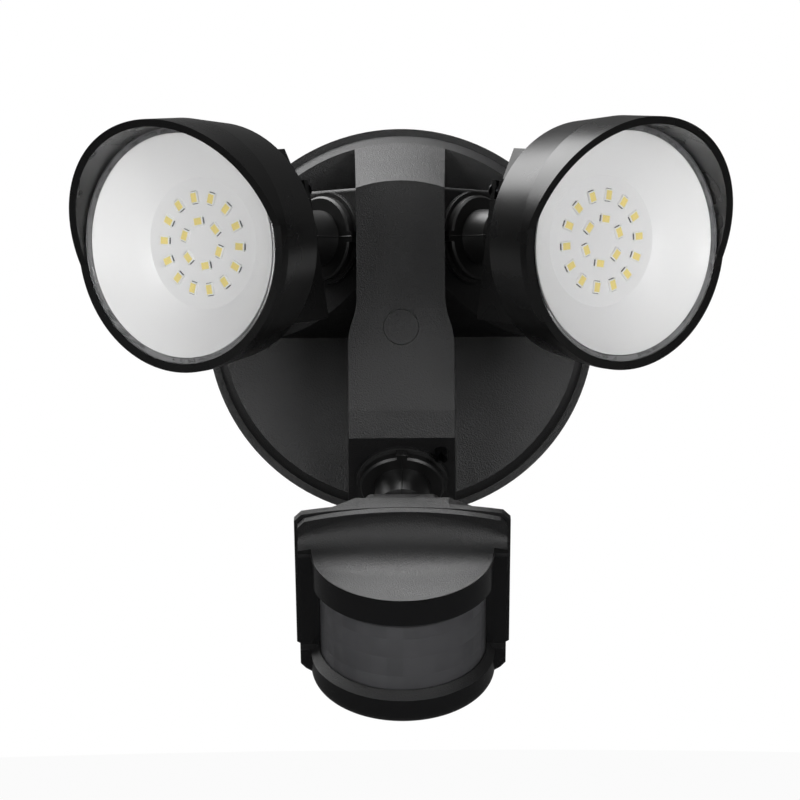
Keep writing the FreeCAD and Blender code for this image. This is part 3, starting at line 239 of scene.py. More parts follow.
shader.inputs["Base Color"].default_value = colour(BLACK_ABS)
shader.inputs["IOR"].default_value = ABS_IOR
finishes[front_case.name] = front_case
print(front_case.name, "is grained over", GRAINED_HEIGHTS[-1][0], "mm")

# %% The arms with their mould seam
SEAM_HALF = (0.10, 0.26)  # mm, half the ridge's width at its top and at its foot
SEAM_HEIGHT = 0.12
SEAM_CLOUD = 9
SEAM_GLOSS = (0.36, 0.46)


def seamed(name, axis, middle):
    """Satin black plastic with a raised line on the plane axis = middle (mm)."""
    material, tree, shader = new_material(name)
    place = add_node(tree, "ShaderNodeTexCoord").outputs["Object"]
    sides = add_node(tree, "ShaderNodeSeparateXYZ", {"Vector": place})
    off = add_node(tree, "ShaderNodeMath", {0: sides.outputs[axis], 1: middle * MM},
                   operation="SUBTRACT")
    away = add_node(tree, "ShaderNodeMath", {0: off.outputs[0]}, operation="ABSOLUTE")
    ridge = add_node(tree, "ShaderNodeMapRange",
                     {"Value": away.outputs[0], "From Min": SEAM_HALF[0] * MM,
                      "From Max": SEAM_HALF[1] * MM, "To Min": 1.0, "To Max": 0.0})
    bump = add_node(tree, "ShaderNodeBump",
                    {"Height": ridge.outputs["Result"], "Distance": SEAM_HEIGHT * MM})
    cloud = add_node(tree, "ShaderNodeTexNoise",
                     {"Vector": place, "Scale": 1 / (SEAM_CLOUD * MM), "Detail": 2.0})
    gloss = add_node(tree, "ShaderNodeMapRange",
                     {"Value": cloud.outputs["Fac"],
                      "To Min": SEAM_GLOSS[0], "To Max": SEAM_GLOSS[1]})
    tree.links.new(gloss.outputs["Result"], shader.inputs["Roughness"])
    tree.links.new(bump.outputs["Normal"], shader.inputs["Normal"])
    shader.inputs["Base Color"].default_value = colour("0a0a0a")
    shader.inputs["IOR"].default_value = ABS_IOR
    return material


finishes["level_seam_black_abs"] = seamed("level_seam_black_abs", "Z", 25.3)
finishes["upright_seam_black_abs"] = seamed("upright_seam_black_abs", "X", 0.0)
print("seams on the arms")

# %% [markdown]
# The reflector is white polycarbonate moulded against a polished tool, so it is
# a smooth, slightly glossy white.  The LED board is aluminium under white solder
# mask, so it is a shade darker and more matt.  The light packages are white PPA
# frames filled with silicone full of yellow phosphor, which is pale yellow when
# off.  All are made by the recipe for moulded plastics.

# %% White plastics and phosphor
WHITES = {
    "white_polycarbonate_reflector": ("fafafa", 0.30, 0.01, 6.0, 0.004, 1.58),
    "white_solder_mask": ("f8f8f8", 0.46, 0.05, 2.0, 0.006, 1.5),
    "white_ppa_package": ("f9f9f6", 0.38, 0.03, 0.6, 0.004, 1.6),
    "yellow_phosphor_silicone": ("ffec96", 0.34, 0.05, 0.35, 0.01, 1.41),
}
for name, numbers in WHITES.items():
    finishes[name] = moulded(name, *numbers)
print(", ".join(WHITES))

# %% [markdown]
# The metal pieces are small: zinc plated screws and strap, a green dyed
# ground screw, tin on the packages' ends, an aluminium plate and the steel can
# of the heat sensor.  Plated steel is drawn with fine brushed lines, which are
# a noise stretched twelve times along one axis, and a slow noise in its gloss
# where the plating bath left it cloudy.  A metal keeps the default IOR.

# %% Metals
METALS = {
    "zinc_plated_steel": ("b9bcc0", 0.34, 0.10),
    "green_dyed_steel": ("2f8a4c", 0.36, 0.08),
    "mill_aluminium": ("cfd1d3", 0.38, 0.07),
    "drawn_steel_can": ("c3c4c4", 0.24, 0.06),
    "tinned_terminal": ("77797c", 0.36, 0.06),
    "blackened_steel": ("242426", 0.38, 0.08),
}
BRUSH_LINE = 0.12
BRUSH_STRETCH = 12
BRUSH_DEPTH = 0.01
BRUSH_STRENGTH = 0.6
PLATING_CLOUD = 3
for name, (hex_value, rough, spread) in METALS.items():
    material, tree, shader = new_material(name)
    place = add_node(tree, "ShaderNodeTexCoord").outputs["Object"]
    stretched = add_node(tree, "ShaderNodeMapping",
                         {"Vector": place, "Scale": (1 / BRUSH_STRETCH, 1, 1)})
    lines = add_node(tree, "ShaderNodeTexNoise",
                     {"Vector": stretched.outputs["Vector"],
                      "Scale": 1 / (BRUSH_LINE * MM), "Detail": 2.0})
    cloud = add_node(tree, "ShaderNodeTexNoise",
                     {"Vector": place, "Scale": 1 / (PLATING_CLOUD * MM),
                      "Detail": 3.0})
    gloss = add_node(tree, "ShaderNodeMapRange",
                     {"Value": cloud.outputs["Fac"],
                      "From Min": NOISE_SPAN[0], "From Max": NOISE_SPAN[1],
                      "To Min": rough - spread, "To Max": rough + spread})
    bump = add_node(tree, "ShaderNodeBump",
                    {"Height": lines.outputs["Fac"], "Distance": BRUSH_DEPTH * MM,
                     "Strength": BRUSH_STRENGTH})
    shader.inputs["Base Color"].default_value = colour(hex_value)
    shader.inputs["Metallic"].default_value = 1.0
    tree.links.new(gloss.outputs["Result"], shader.inputs["Roughness"])
    tree.links.new(bump.outputs["Normal"], shader.inputs["Normal"])
    finishes[name] = material
print(len(METALS), "metals")

# %% [markdown]
# The lamp's lens is clear polycarbonate: glass-like, with an index of 1.585
# and a very slight haze that softens what is behind it.  A flat sheet lets a
# lamp's light straight through, which a path tracer finds only by luck behind
# glass and then leaves as blotches, so shadow rays and the rays that leave the
# white bowl pass it as if it were open.  The sensor's window is polythene that
# carries carbon pigment: it lets heat through and, seen in light, is a dark grey
# film with a waxy shine.  It is moulded as a mosaic of little lenses, each a set
# of fine rings round its own middle.  The angle round the window and the height
# along it give each lens its own square, and the distance from the middle of
# that square makes the rings, which are drawn twice as coarse as real ones.

# %% The clear lens
LENS_IOR = 1.585
HAZE_SIZE = 20
HAZE = (0.015, 0.03)

lens_clear, tree, shader = new_material("clear_polycarbonate")
place = add_node(tree, "ShaderNodeTexCoord").outputs["Object"]
haze = add_node(tree, "ShaderNodeTexNoise",
                {"Vector": place, "Scale": 1 / (HAZE_SIZE * MM)})
soft = add_node(tree, "ShaderNodeMapRange",
                {"Value": haze.outputs["Fac"], "To Min": HAZE[0], "To Max": HAZE[1]})
tree.links.new(soft.outputs["Result"], shader.inputs["Roughness"])
shader.inputs["Base Color"].default_value = colour("fafafa")
shader.inputs["Transmission Weight"].default_value = 1.0
shader.inputs["IOR"].default_value = LENS_IOR
rays = add_node(tree, "ShaderNodeLightPath")
opened = add_node(tree, "ShaderNodeBsdfTransparent").outputs["BSDF"]
pane = shader.outputs["BSDF"]
for kind in ("Is Shadow Ray", "Is Diffuse Ray"):
    pane = add_node(tree, "ShaderNodeMixShader",
                    {0: rays.outputs[kind], 1: pane, 2: opened}).outputs["Shader"]
tree.links.new(pane, tree.nodes["Material Output"].inputs["Surface"])
finishes["clear_polycarbonate"] = lens_clear
print(lens_clear.name)

# %% The window's mosaic of lenses
WINDOW_AXIS = -12.3
WINDOW_RADIUS = 25.2
WINDOW_WALL = 0.8
WINDOW_SPAN = (-33.7, -7.6)
WINDOW_TINTS = ("3c3c3e", "444446")
COLUMNS = 16
ROWS = 4
LENS_ROW = (WINDOW_SPAN[1] - WINDOW_SPAN[0]) / ROWS
LENS_COLUMN = math.pi * WINDOW_RADIUS / COLUMNS
RING_PITCH = 0.55
RING_DEPTH = 0.05

window_dark, tree, shader = new_material("carbon_grey_polythene")
place = add_node(tree, "ShaderNodeTexCoord").outputs["Object"]
to_head = add_node(tree, "ShaderNodeMapping", {
    "Vector": place,
    "Location": head_frame("sensor") @ Vector((0, WINDOW_AXIS * MM, 0)),
    "Rotation": head_frame("sensor").to_euler(),
}, vector_type="TEXTURE")
local = add_node(tree, "ShaderNodeSeparateXYZ", {"Vector": to_head.outputs["Vector"]})
angle = add_node(tree, "ShaderNodeMath", {0: local.outputs["X"], 1: local.outputs["Y"]},
                 operation="ARCTAN2")
column = add_node(tree, "ShaderNodeMath", {0: angle.outputs[0], 1: COLUMNS / math.pi},
                  operation="MULTIPLY")
row = add_node(tree, "ShaderNodeMapRange",
               {"Value": local.outputs["Z"], "From Min": WINDOW_SPAN[0] * MM,
                "From Max": WINDOW_SPAN[1] * MM, "To Max": float(ROWS)})
square = add_node(tree, "ShaderNodeCombineXYZ",
                  {"X": column.outputs[0], "Y": row.outputs["Result"]})
which = add_node(tree, "ShaderNodeVectorMath", {0: square.outputs[0]},
                 operation="FLOOR")
inside = add_node(tree, "ShaderNodeVectorMath", {0: square.outputs[0]},
                  operation="FRACTION")
from_middle = add_node(tree, "ShaderNodeVectorMath",
                       {0: inside.outputs[0], 1: (0.5, 0.5, 0.0)}, operation="SUBTRACT")
in_mm = add_node(tree, "ShaderNodeVectorMath",
                 {0: from_middle.outputs[0], 1: (LENS_COLUMN, LENS_ROW, 0.0)},
                 operation="MULTIPLY")
radius = add_node(tree, "ShaderNodeVectorMath", {0: in_mm.outputs[0]},
                  operation="LENGTH")
zones = add_node(tree, "ShaderNodeMath",
                 {0: radius.outputs["Value"], 1: RING_PITCH}, operation="MODULO")
bump = add_node(tree, "ShaderNodeBump",
                {"Height": zones.outputs[0], "Distance": RING_DEPTH * MM})
shade = add_node(tree, "ShaderNodeTexWhiteNoise", {"Vector": which.outputs[0]})
tint = add_node(tree, "ShaderNodeMix",
                {"Factor": shade.outputs["Value"], "A": colour(WINDOW_TINTS[0]),
                 "B": colour(WINDOW_TINTS[1])}, data_type="RGBA")
tree.links.new(tint.outputs["Result"], shader.inputs["Base Color"])
tree.links.new(bump.outputs["Normal"], shader.inputs["Normal"])
shader.inputs["Roughness"].default_value = 0.3
shader.inputs["IOR"].default_value = 1.51
finishes["carbon_grey_polythene"] = window_dark
print(window_dark.name, "with", COLUMNS, "by", ROWS, "lenses")

# %% [markdown]
# Each CAD node gets the finish of the piece it stands for.  Its mesh stays as
# it came; only its material slot changes.

# %% Finishes of the CAD nodes
WEARS = {
    "spark_eroded_black_abs": ["housing", "screw_plug", "sensor_rear_case"],
    "grained_and_polished_black_abs": ["sensor_front_case"],
    "satin_black_abs": ["driver_cover", "sensor_arm_nut"],
    "upright_seam_black_abs": ["sensor_arm"],
    "black_epdm_rubber": [
        "wall_gasket", "arm_gaskets", "wire_grommet", "sensor_case_seal"],
    "natural_black_acetal": ["sensor_ball_liner", "sensor_ball_retainer"],
    "zinc_plated_steel": [
        "crossbar", "centre_bolt", "driver_cover_screws", "sensor_retainer_screws",
        "sensor_case_screws"],
    "blackened_steel": ["sensor_lock_screw"],
    "green_dyed_steel": ["ground_screw"],
    "green_solder_mask": ["driver_board", "sensor_board"],
    "component_epoxy": ["driver_parts"],
    "drawn_steel_can": ["sensor_pyro_element"],
    "amber_cell_epoxy": ["sensor_light_cell"],
    "carbon_grey_polythene": ["sensor_pir_lens"],
    "moulded_grey_nylon": ["sensor_time_dial", "sensor_lux_dial", "sensor_range_dial"],
}
LAMP_WEARS = {
    "satin_black_abs": ["housing", "rear_cover", "arm_nut"],
    "level_seam_black_abs": ["arm"],
    "black_epdm_rubber": ["cover_seal"],
    "grey_silicone_rubber": ["lens_seal"],
    "natural_black_acetal": ["ball_liner", "ball_retainer"],
    "zinc_plated_steel": ["retainer_screws"],
    "blackened_steel": ["cover_screws"],
    "mill_aluminium": ["heat_plate"],
    "clear_polycarbonate": ["lens"],
    "white_polycarbonate_reflector": ["reflector"],
    "white_solder_mask": ["led_board"],
    "yellow_phosphor_silicone": ["leds"],
}
for finish, pieces in LAMP_WEARS.items():
    for lamp in LAMPS:
        WEARS[finish] = WEARS.get(finish, []) + [f"{lamp}_{piece}" for piece in pieces]
for finish, pieces in WEARS.items():
    for piece in pieces:
        nodes[piece].data.materials.clear()
        nodes[piece].data.materials.append(finishes[finish])
print(sum(len(pieces) for pieces in WEARS.values()), "of", len(nodes), "nodes dressed")

# %% [markdown]
# New pieces are modelled as by hand: add a primitive, go into edit mode, pick
# faces or edges by where they are, and extrude, inset or bevel them.  These
# helpers do the picking and the finishing.  An operator acts on whatever
# is selected, and loading the frame leaves all its nodes selected, so each piece
# starts from an empty selection.


# %% Helpers for modelling
def start(kind, **numbers):
    """A new primitive, the only thing selected, at its size and place."""
    bpy.ops.object.select_all(action="DESELECT")
    getattr(bpy.ops.mesh, f"primitive_{kind}_add")(**numbers)
    return bpy.context.object


def only(piece):
    """Makes a piece the one that operators act on."""
    bpy.ops.object.select_all(action="DESELECT")
    piece.select_set(True)
    bpy.context.view_layer.objects.active = piece


def pick_faces(piece, wanted):
    """Selects the faces for which wanted(face) is true, and enters edit mode."""
    only(piece)
    bpy.ops.object.mode_set(mode="EDIT")
    bpy.ops.mesh.select_mode(type="FACE")
    bpy.ops.mesh.select_all(action="DESELECT")
    bpy.ops.object.mode_set(mode="OBJECT")
    count = 0
    for face in piece.data.polygons:
        face.select = bool(wanted(face))
        count += face.select
    bpy.ops.object.mode_set(mode="EDIT")
    return count


def leave():
    """Leaves edit mode."""
    bpy.ops.object.mode_set(mode="OBJECT")


def apply_place(piece):
    """Moves the piece's place, turn and size into its mesh."""
    only(piece)
    bpy.ops.object.transform_apply(location=True, rotation=True, scale=True)


def bevelled(piece, width, segments=2, angle=40):
    """Rounds the edges sharper than an angle by a width in mm."""
    only(piece)
    bevel = piece.modifiers.new("rounded", "BEVEL")
    bevel.width = width * MM
    bevel.segments = segments
    bevel.limit_method = "ANGLE"
    bevel.angle_limit = math.radians(angle)
    bpy.ops.object.modifier_apply(modifier=bevel.name)


def smooth(piece, angle=35):
    """Shades a piece smooth, but for the edges sharper than an angle."""
    only(piece)
    bpy.ops.object.shade_smooth_by_angle(angle=math.radians(angle))


def copy_at(model, turn):
    """A copy with its own mesh, moved by a matrix."""
    piece = model.copy()
    piece.data = model.data.copy()
    bpy.context.scene.collection.objects.link(piece)
    piece.data.transform(turn)
    return piece


def joined(pieces, name):
    """Several pieces made one object."""
    bpy.ops.object.select_all(action="DESELECT")
    for piece in pieces:
        piece.select_set(True)
    bpy.context.view_layer.objects.active = pieces[0]
    if len(pieces) > 1:
        bpy.ops.object.join()
    result = bpy.context.object
    result.name = name
    return result


def put_on(piece, name, body, slot, *stood_for):
    """Names a finished piece, sets it on the body it rides on and hides the CAD nodes it stands
    for.
    """
    piece.name = name
    piece.data.name = name
    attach(piece, body)
    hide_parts(*stood_for)
    triangles = sum(len(face.vertices) - 2 for face in piece.data.polygons)
    print(name, "on", body, "with", triangles, "triangles")


# %% [markdown]
# A light package is 3.5 by 2.8 mm and 0.8 mm high: a white frame round a
# shallow pool of phosphor, with a tinned terminal folded over each end.  The
# frame starts as a block; its front face is inset and pushed in to make the
# pool, and the terminals are blocks that stand a little proud of the ends.
# One package is made and copied twenty times a lamp, fourteen in the outer ring
# with their length pointing at the middle and six in the inner ring across it.

# %% One light package
PACKAGE = (2.8, 0.8, 3.5)
FRAME_WIDTH = 0.26
POOL_DEPTH = 0.12
FRONT_AREA = 4e-6  # square metres, more than any face of the bevels has
TERMINAL = (1.9, 0.5, 0.32)
TERMINAL_AT = (0.12, 1.78)
BOARD_FRONT = -35.0

package = start("cube", size=1)
package.scale = [side * MM for side in PACKAGE]
apply_place(package)
bevelled(package, 0.12, 2)
for finish in ("white_ppa_package", "yellow_phosphor_silicone", "tinned_terminal"):
    package.data.materials.append(finishes[finish])
front_faces = pick_faces(
    package, lambda face: face.normal.y < -0.99 and face.area > FRONT_AREA)
bpy.ops.mesh.inset(thickness=FRAME_WIDTH * MM)
bpy.ops.mesh.extrude_region_move(
    TRANSFORM_OT_translate={"value": (0, POOL_DEPTH * MM, 0)})
bpy.context.object.active_material_index = 1
bpy.ops.object.material_slot_assign()
leave()

ends = []
for side in (-1, 1):
    terminal = start("cube", size=1, location=(
        0, TERMINAL_AT[0] * MM, side * TERMINAL_AT[1] * MM))
    terminal.scale = [side_length * MM for side_length in TERMINAL]
    apply_place(terminal)
    bevelled(terminal, 0.08, 1)
    terminal.data.materials.append(finishes["tinned_terminal"])
    ends.append(terminal)
package = joined([package] + ends, "package")
smooth(package, 30)
print("package faces:", len(package.data.polygons), "front faces:", front_faces)

# %% The rings of packages
# How many stand in a ring, its radius in mm, and each package's own turn.
RINGS = ((14, 13.65, 0), (6, 6.6, 90))
PACKAGE_MIDDLE = BOARD_FRONT - PACKAGE[1] / 2
for lamp in LAMPS:
    place = head_frame(lamp)
    ring = []
    for count, radius, degrees in RINGS:
        for number in range(count):
            spin = Matrix.Rotation(math.tau * number / count, 4, "Y")
            out = Matrix.Translation((0, PACKAGE_MIDDLE * MM, radius * MM))
            own_turn = Matrix.Rotation(math.radians(degrees), 4, "Y")
            ring.append(copy_at(package, place @ spin @ out @ own_turn))
    leds = joined(ring, lamp + "_packages")
    put_on(leds, lamp + "_packages", lamp + "_head", "led_phosphor", lamp + "_leds")
bpy.data.objects.remove(package)

# %% [markdown]
# The reflector is a shallow white bowl round the board.  It is a turned
# shape, so its half outline is drawn as a chain of points and spun round the
# lamp's axis.  The bowl's wall swells slightly outwards, and a rounded rim
# sits behind the lens.

# %% The two reflectors
REFLECTOR_OUTLINE = (
    (19.40, -35.0), (22.2, -36.2), (25.0, -38.0), (27.6, -40.1), (29.9, -42.4),
    (31.6, -44.6), (32.5, -45.95), (32.7, -46.0), (32.7, -44.7), (31.7, -43.1),
    (30.0, -40.9), (27.4, -38.4), (24.6, -36.3), (21.6, -35.0),
)
TURN_STEPS = 96
MERGED_WITHIN = 0.005


def turned(outline, steps=TURN_STEPS):
    """A closed half outline, (radius, depth) in mm, spun round the Y axis.
    Its line along the axis, where it has one, is left with no face and goes."""
    piece = start("circle", vertices=len(outline), radius=MM)
    for vertex, (radius, depth) in zip(piece.data.vertices, outline):
        vertex.co = (radius * MM, depth * MM, 0)
    bpy.ops.object.mode_set(mode="EDIT")
    bpy.ops.mesh.select_all(action="SELECT")
    bpy.ops.mesh.spin(steps=steps, angle=math.tau, center=(0, 0, 0), axis=(0, 1, 0))
    bpy.ops.mesh.select_all(action="SELECT")
    bpy.ops.mesh.remove_doubles(threshold=MERGED_WITHIN * MM)
    bpy.ops.mesh.delete_loose()
    bpy.ops.mesh.select_all(action="SELECT")
    bpy.ops.mesh.normals_make_consistent(inside=False)
    leave()
    return piece


for lamp in LAMPS:
    bowl = turned(REFLECTOR_OUTLINE)
    bowl.data.transform(head_frame(lamp))
    bowl.data.materials.append(finishes["white_polycarbonate_reflector"])
    smooth(bowl, 40)
    put_on(bowl, lamp + "_bowl", lamp + "_head", "white_reflector", lamp + "_reflector")

# %% [markdown]
# The sensor's window is a thin dark sheet rolled half round the nose.  It is
# a flat grid first, sixteen lenses wide and four high.  The grid is
# rolled round the nose's axis, each lens is inset and raised a little so
# that a fine groove runs between neighbours, and a wall is given to it last.

# %% The sensor's window
GROOVE = (0.12, 0.03)  # mm, half its width, and its depth

window = start("grid", x_subdivisions=COLUMNS, y_subdivisions=ROWS, size=2)
for vertex in window.data.vertices:
    turn = vertex.co.x * math.pi / 2
    share = (vertex.co.y + 1) / 2
    rise = WINDOW_SPAN[0] + share * (WINDOW_SPAN[1] - WINDOW_SPAN[0])
    around = WINDOW_RADIUS - GROOVE[1]
    vertex.co = Vector((around * math.sin(turn), WINDOW_AXIS - around * math.cos(turn),
                        rise)) * MM
pick_faces(window, lambda face: True)
bpy.ops.mesh.normals_make_consistent(inside=False)
bpy.ops.mesh.inset(thickness=GROOVE[0] * MM, depth=GROOVE[1] * MM, use_individual=True)
leave()
outward = sum(face.normal.y for face in window.data.polygons) < 0
wall = window.modifiers.new("wall", "SOLIDIFY")
wall.thickness = (WINDOW_WALL - GROOVE[1]) * MM
wall.offset = -1.0 if outward else 1.0
only(window)
bpy.ops.object.modifier_apply(modifier=wall.name)
window.data.transform(head_frame("sensor"))
window.data.materials.append(finishes["carbon_grey_polythene"])
smooth(window, 25)
put_on(window, "sensor_window", "sensor_head", "dark_pir_window", "sensor_pir_lens")

# %% [markdown]
# The front case's brow is a hollow slope: it leaves the arched plate just under
# its edge and runs out on the flat lip in one long curve, higher in the middle than
# at the sides.  The CAD case has a short round there, because each of its faces
# is a plain cylinder or plane, so a long hollow fillet is laid into that corner.
# It could be a loft, but a section that is extruded across the plate in steps,
# with each step stretched to the arch's height, gives the same surface with even
# quads.  What stands over the lip's half round edge is cut away with a Boolean.
# The fillet's back is sunk half a millimetre into the case's wall, and its own
# short walls are polished as the band below them is.

# %% The hollow fillet of the brow
# The case in mm: places are measured from the ball, the nose's radius from its
# axis.  ROOF_FALL is a slope, and ROUND the radius of the CAD's own short round.
PLATE_FACE = -12.3
PLATE_HALF = 31.4
NOSE_RADIUS = 27.6
VISOR_FRONT = -15.2
ROOF = 1.7
ROOF_FALL = 0.0357
ROUND = 4.4
# The fillet: two sizes are given as at the plate's sides and in its middle.
FILLET_DEPTH = (9.0, 15.5)
FILLET_RISE = (5.0, 12.0)
SUNK = 0.015  # how far its hollow face starts and ends within the case's
INSIDE = 0.5  # how far its back is sunk into the case's wall
SIDE_GAP = 0.05
SECTION_STEPS = 20
ACROSS_STEPS = 32


def fillet_section(share):
    """The section, (depth, height) in mm, with share 0 at the plate's sides and
    1 in its middle: a quarter ellipse from the plate to the roof, closed inside
    the case's own wall."""
    out, rise = (side + share * (middle - side)
                 for side, middle in (FILLET_DEPTH, FILLET_RISE))
    curve = []
    for number in range(SECTION_STEPS + 1):
        turn = math.pi / 2 * number / SECTION_STEPS
        off = out * (1 - math.cos(turn))
        roof = ROOF - SUNK - ROOF_FALL * (off - ROUND)
        curve.append((PLATE_FACE + SUNK - off, roof + rise * (1 - math.sin(turn))))
    low = ROOF - INSIDE - ROOF_FALL * out
    return curve + [(PLATE_FACE - out, low), (PLATE_FACE + INSIDE, low),
                    (PLATE_FACE + INSIDE, ROOF + rise)]


half = PLATE_HALF - SIDE_GAP
start_section = fillet_section(1)
fillet = start("circle", vertices=len(start_section), radius=MM, fill_type="NGON")
for vertex, (depth, rise) in zip(fillet.data.vertices, start_section):
    vertex.co = Vector((-half, depth, rise)) * MM
bpy.ops.object.mode_set(mode="EDIT")
bpy.ops.mesh.select_all(action="SELECT")
for number in range(ACROSS_STEPS):
    bpy.ops.mesh.extrude_region_move(
        TRANSFORM_OT_translate={"value": (2 * half / ACROSS_STEPS * MM, 0, 0)})
leave()
for number in range(ACROSS_STEPS + 1):
    aside = -half + 2 * half * number / ACROSS_STEPS
    section = fillet_section(1 - (aside / half) ** 2)
    first = number * len(section)
    points = fillet.data.vertices[first:first + len(section)]
    for vertex, (depth, rise) in zip(points, section):
        vertex.co = Vector((aside, depth, rise)) * MM
print("fillet faces:", len(fillet.data.polygons))

# %% Its plan, cut out
PLAN_STEPS = 96
EDGE_GAP = 0.04  # how far the fillet's own walls stay behind the case's
BEHIND = 2  # how far the stencil reaches behind the plate's face
STENCIL_FOOT = -3
STENCIL_HEIGHT = 24
WALLS_BEYOND = 26.5  # from the nose's axis: only the edge's walls stand there

reach = NOSE_RADIUS - EDGE_GAP
spread = math.acos((PLATE_FACE - VISOR_FRONT - EDGE_GAP) / reach)
plan = [(half, PLATE_FACE + BEHIND), (half, VISOR_FRONT + EDGE_GAP)]
for number in range(PLAN_STEPS + 1):
    turn = spread * (1 - 2 * number / PLAN_STEPS)
    plan.append((reach * math.sin(turn), PLATE_FACE - reach * math.cos(turn)))
plan += [(-half, VISOR_FRONT + EDGE_GAP), (-half, PLATE_FACE + BEHIND)]
stencil = start("circle", vertices=len(plan), radius=MM, fill_type="NGON")
for vertex, (aside, depth) in zip(stencil.data.vertices, plan):
    vertex.co = (aside * MM, depth * MM, STENCIL_FOOT * MM)
bpy.ops.object.mode_set(mode="EDIT")
bpy.ops.mesh.select_all(action="SELECT")
bpy.ops.mesh.extrude_region_move(
    TRANSFORM_OT_translate={"value": (0, 0, STENCIL_HEIGHT * MM)})
leave()
for piece in (fillet, stencil):
    pick_faces(piece, lambda face: True)
    bpy.ops.mesh.normals_make_consistent(inside=False)
    leave()

only(fillet)
plan_cut = fillet.modifiers.new("plan", "BOOLEAN")
plan_cut.operation = "INTERSECT"
plan_cut.object = stencil
bpy.ops.object.modifier_apply(modifier=plan_cut.name)
bpy.data.objects.remove(stencil)
for finish in ("grained_and_polished_black_abs", "satin_black_abs"):
    fillet.data.materials.append(finishes[finish])
axis = Vector((0, PLATE_FACE * MM, 0))
walls = pick_faces(fillet, lambda face: abs(face.normal.z) < 0.01 and
                   ((face.center - axis) * Vector((1, 1, 0))).length
                   > WALLS_BEYOND * MM)
bpy.context.object.active_material_index = 1
bpy.ops.object.material_slot_assign()
leave()
fillet.data.transform(head_frame("sensor"))
smooth(fillet, 30)
fillet.name = "sensor_brow_fillet"
fillet.data.name = fillet.name
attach(fillet, "sensor_head")
print(fillet.name, "with", len(fillet.data.polygons), "faces,", walls, "on its walls")

# %% [markdown]
# The screws that show from the sides and behind are pan head screws with a cross
# recess, blackened in the lamps' ears, where they are seen from the front, and
# zinc plated elsewhere.  The whole screw is one turned outline: a rounded head, and
# a shank with a ridge for each turn of its thread.  The thread's pitch is the
# real one for the size, but it is drawn as rings, which at this size nobody can
# tell from a helix.  A cross of two tapered bars is then cut from the head.

# %% One pan head screw
THREAD_DEPTH = 0.22
THREAD_START = 0.3
PLAIN_LENGTH = 0.8  # of the shank, its two ends together
SCREW_STEPS = 32


def pan_screw(finish, head, height, shank, length, pitch=0.5):
    """A screw that points along -Y, its head's underside at zero, in mm.
    head and shank are radii."""
    outline = [(0, height), (head * 0.55, height), (head * 0.85, height * 0.8),
               (head, height * 0.4), (head, 0), (shank, 0)]
    turns = int((length - PLAIN_LENGTH) / pitch)
    for number in range(turns):
        depth = -THREAD_START - number * pitch
        outline += [(shank, depth), (shank - THREAD_DEPTH, depth - pitch / 2)]
    outline += [(shank, -THREAD_START - turns * pitch),
                (shank * 0.5, -length), (0, -length)]
    screw = turned(outline, SCREW_STEPS)
    bars = []
    for turn in (0, 90):
        bar = start("cube", size=1, rotation=(0, math.radians(turn), 0))
        bar.scale = (head * 1.1 * MM, height * 1.2 * MM, head * 0.2 * MM)
        apply_place(bar)
        bar.data.transform(Matrix.Translation((0, height * 0.95 * MM, 0)))
        pick_faces(bar, lambda face: face.normal.y < -0.99)
        bpy.ops.transform.resize(value=(0.5, 1, 0.5))
        leave()
        bars.append(bar)
    for bar in bars:
        only(screw)
        recess = screw.modifiers.new("recess", "BOOLEAN")
        recess.operation = "DIFFERENCE"
        recess.object = bar
        bpy.ops.object.modifier_apply(modifier=recess.name)
        bpy.data.objects.remove(bar)
    screw.data.materials.append(finishes[finish])
    return screw


def screws_on(model, places, turn):
    """Copies of a screw at points given in mm in the frame turn."""
    return [copy_at(model, turn @ Matrix.Translation(Vector(spot) * MM))
            for spot in places]


# %% The screws of the lamps' rear covers, with their nuts
EAR_SCREWS = [(side * 16.5, -3.0, 11.6) for side in (-1, 1)]
NUT = (2.15, 1.9)  # mm, radius over its corners, and height
NUT_RIM = 0.35
NUT_HOLE = (0.25, -0.2)  # mm, its chamfer's width and depth
NUT_BACK = 8.5

ear_screw = pan_screw("blackened_steel", 2.1, 1.2, 1.25, 8.4)
nut = start("cylinder", vertices=6, radius=NUT[0] * MM, depth=NUT[1] * MM,
            rotation=(math.radians(90), 0, 0))
apply_place(nut)
bevelled(nut, 0.15, 2, 50)
pick_faces(nut, lambda face: abs(face.normal.y) > 0.99)
bpy.ops.mesh.inset(thickness=NUT_RIM * MM)
bpy.ops.mesh.inset(thickness=NUT_HOLE[0] * MM, depth=NUT_HOLE[1] * MM)
leave()
nut.data.materials.append(finishes["blackened_steel"])
for lamp in LAMPS:
    pieces = screws_on(ear_screw, EAR_SCREWS, head_frame(lamp))
    nut_places = [(x, -NUT_BACK - NUT[1] / 2, z) for x, _, z in EAR_SCREWS]
    pieces += screws_on(nut, nut_places, head_frame(lamp))
    screws = joined(pieces, lamp + "_ear_screws")
    smooth(screws, 35)
    put_on(screws, lamp + "_ear_screws", lamp + "_head", "zinc_steel",
           lamp + "_cover_screws")
for model in (ear_screw, nut):
    bpy.data.objects.remove(model)

# %% The screws of the sensor's case and of the driver's cover
CASE_SCREWS = [(side * 28.9, -6.7, z) for side in (-1, 1) for z in (8.2, -26.7)]
DRIVER_SCREWS = [(side * 33.0, -5.5, z) for side in (-1, 1) for z in (8.0, -33.0)]

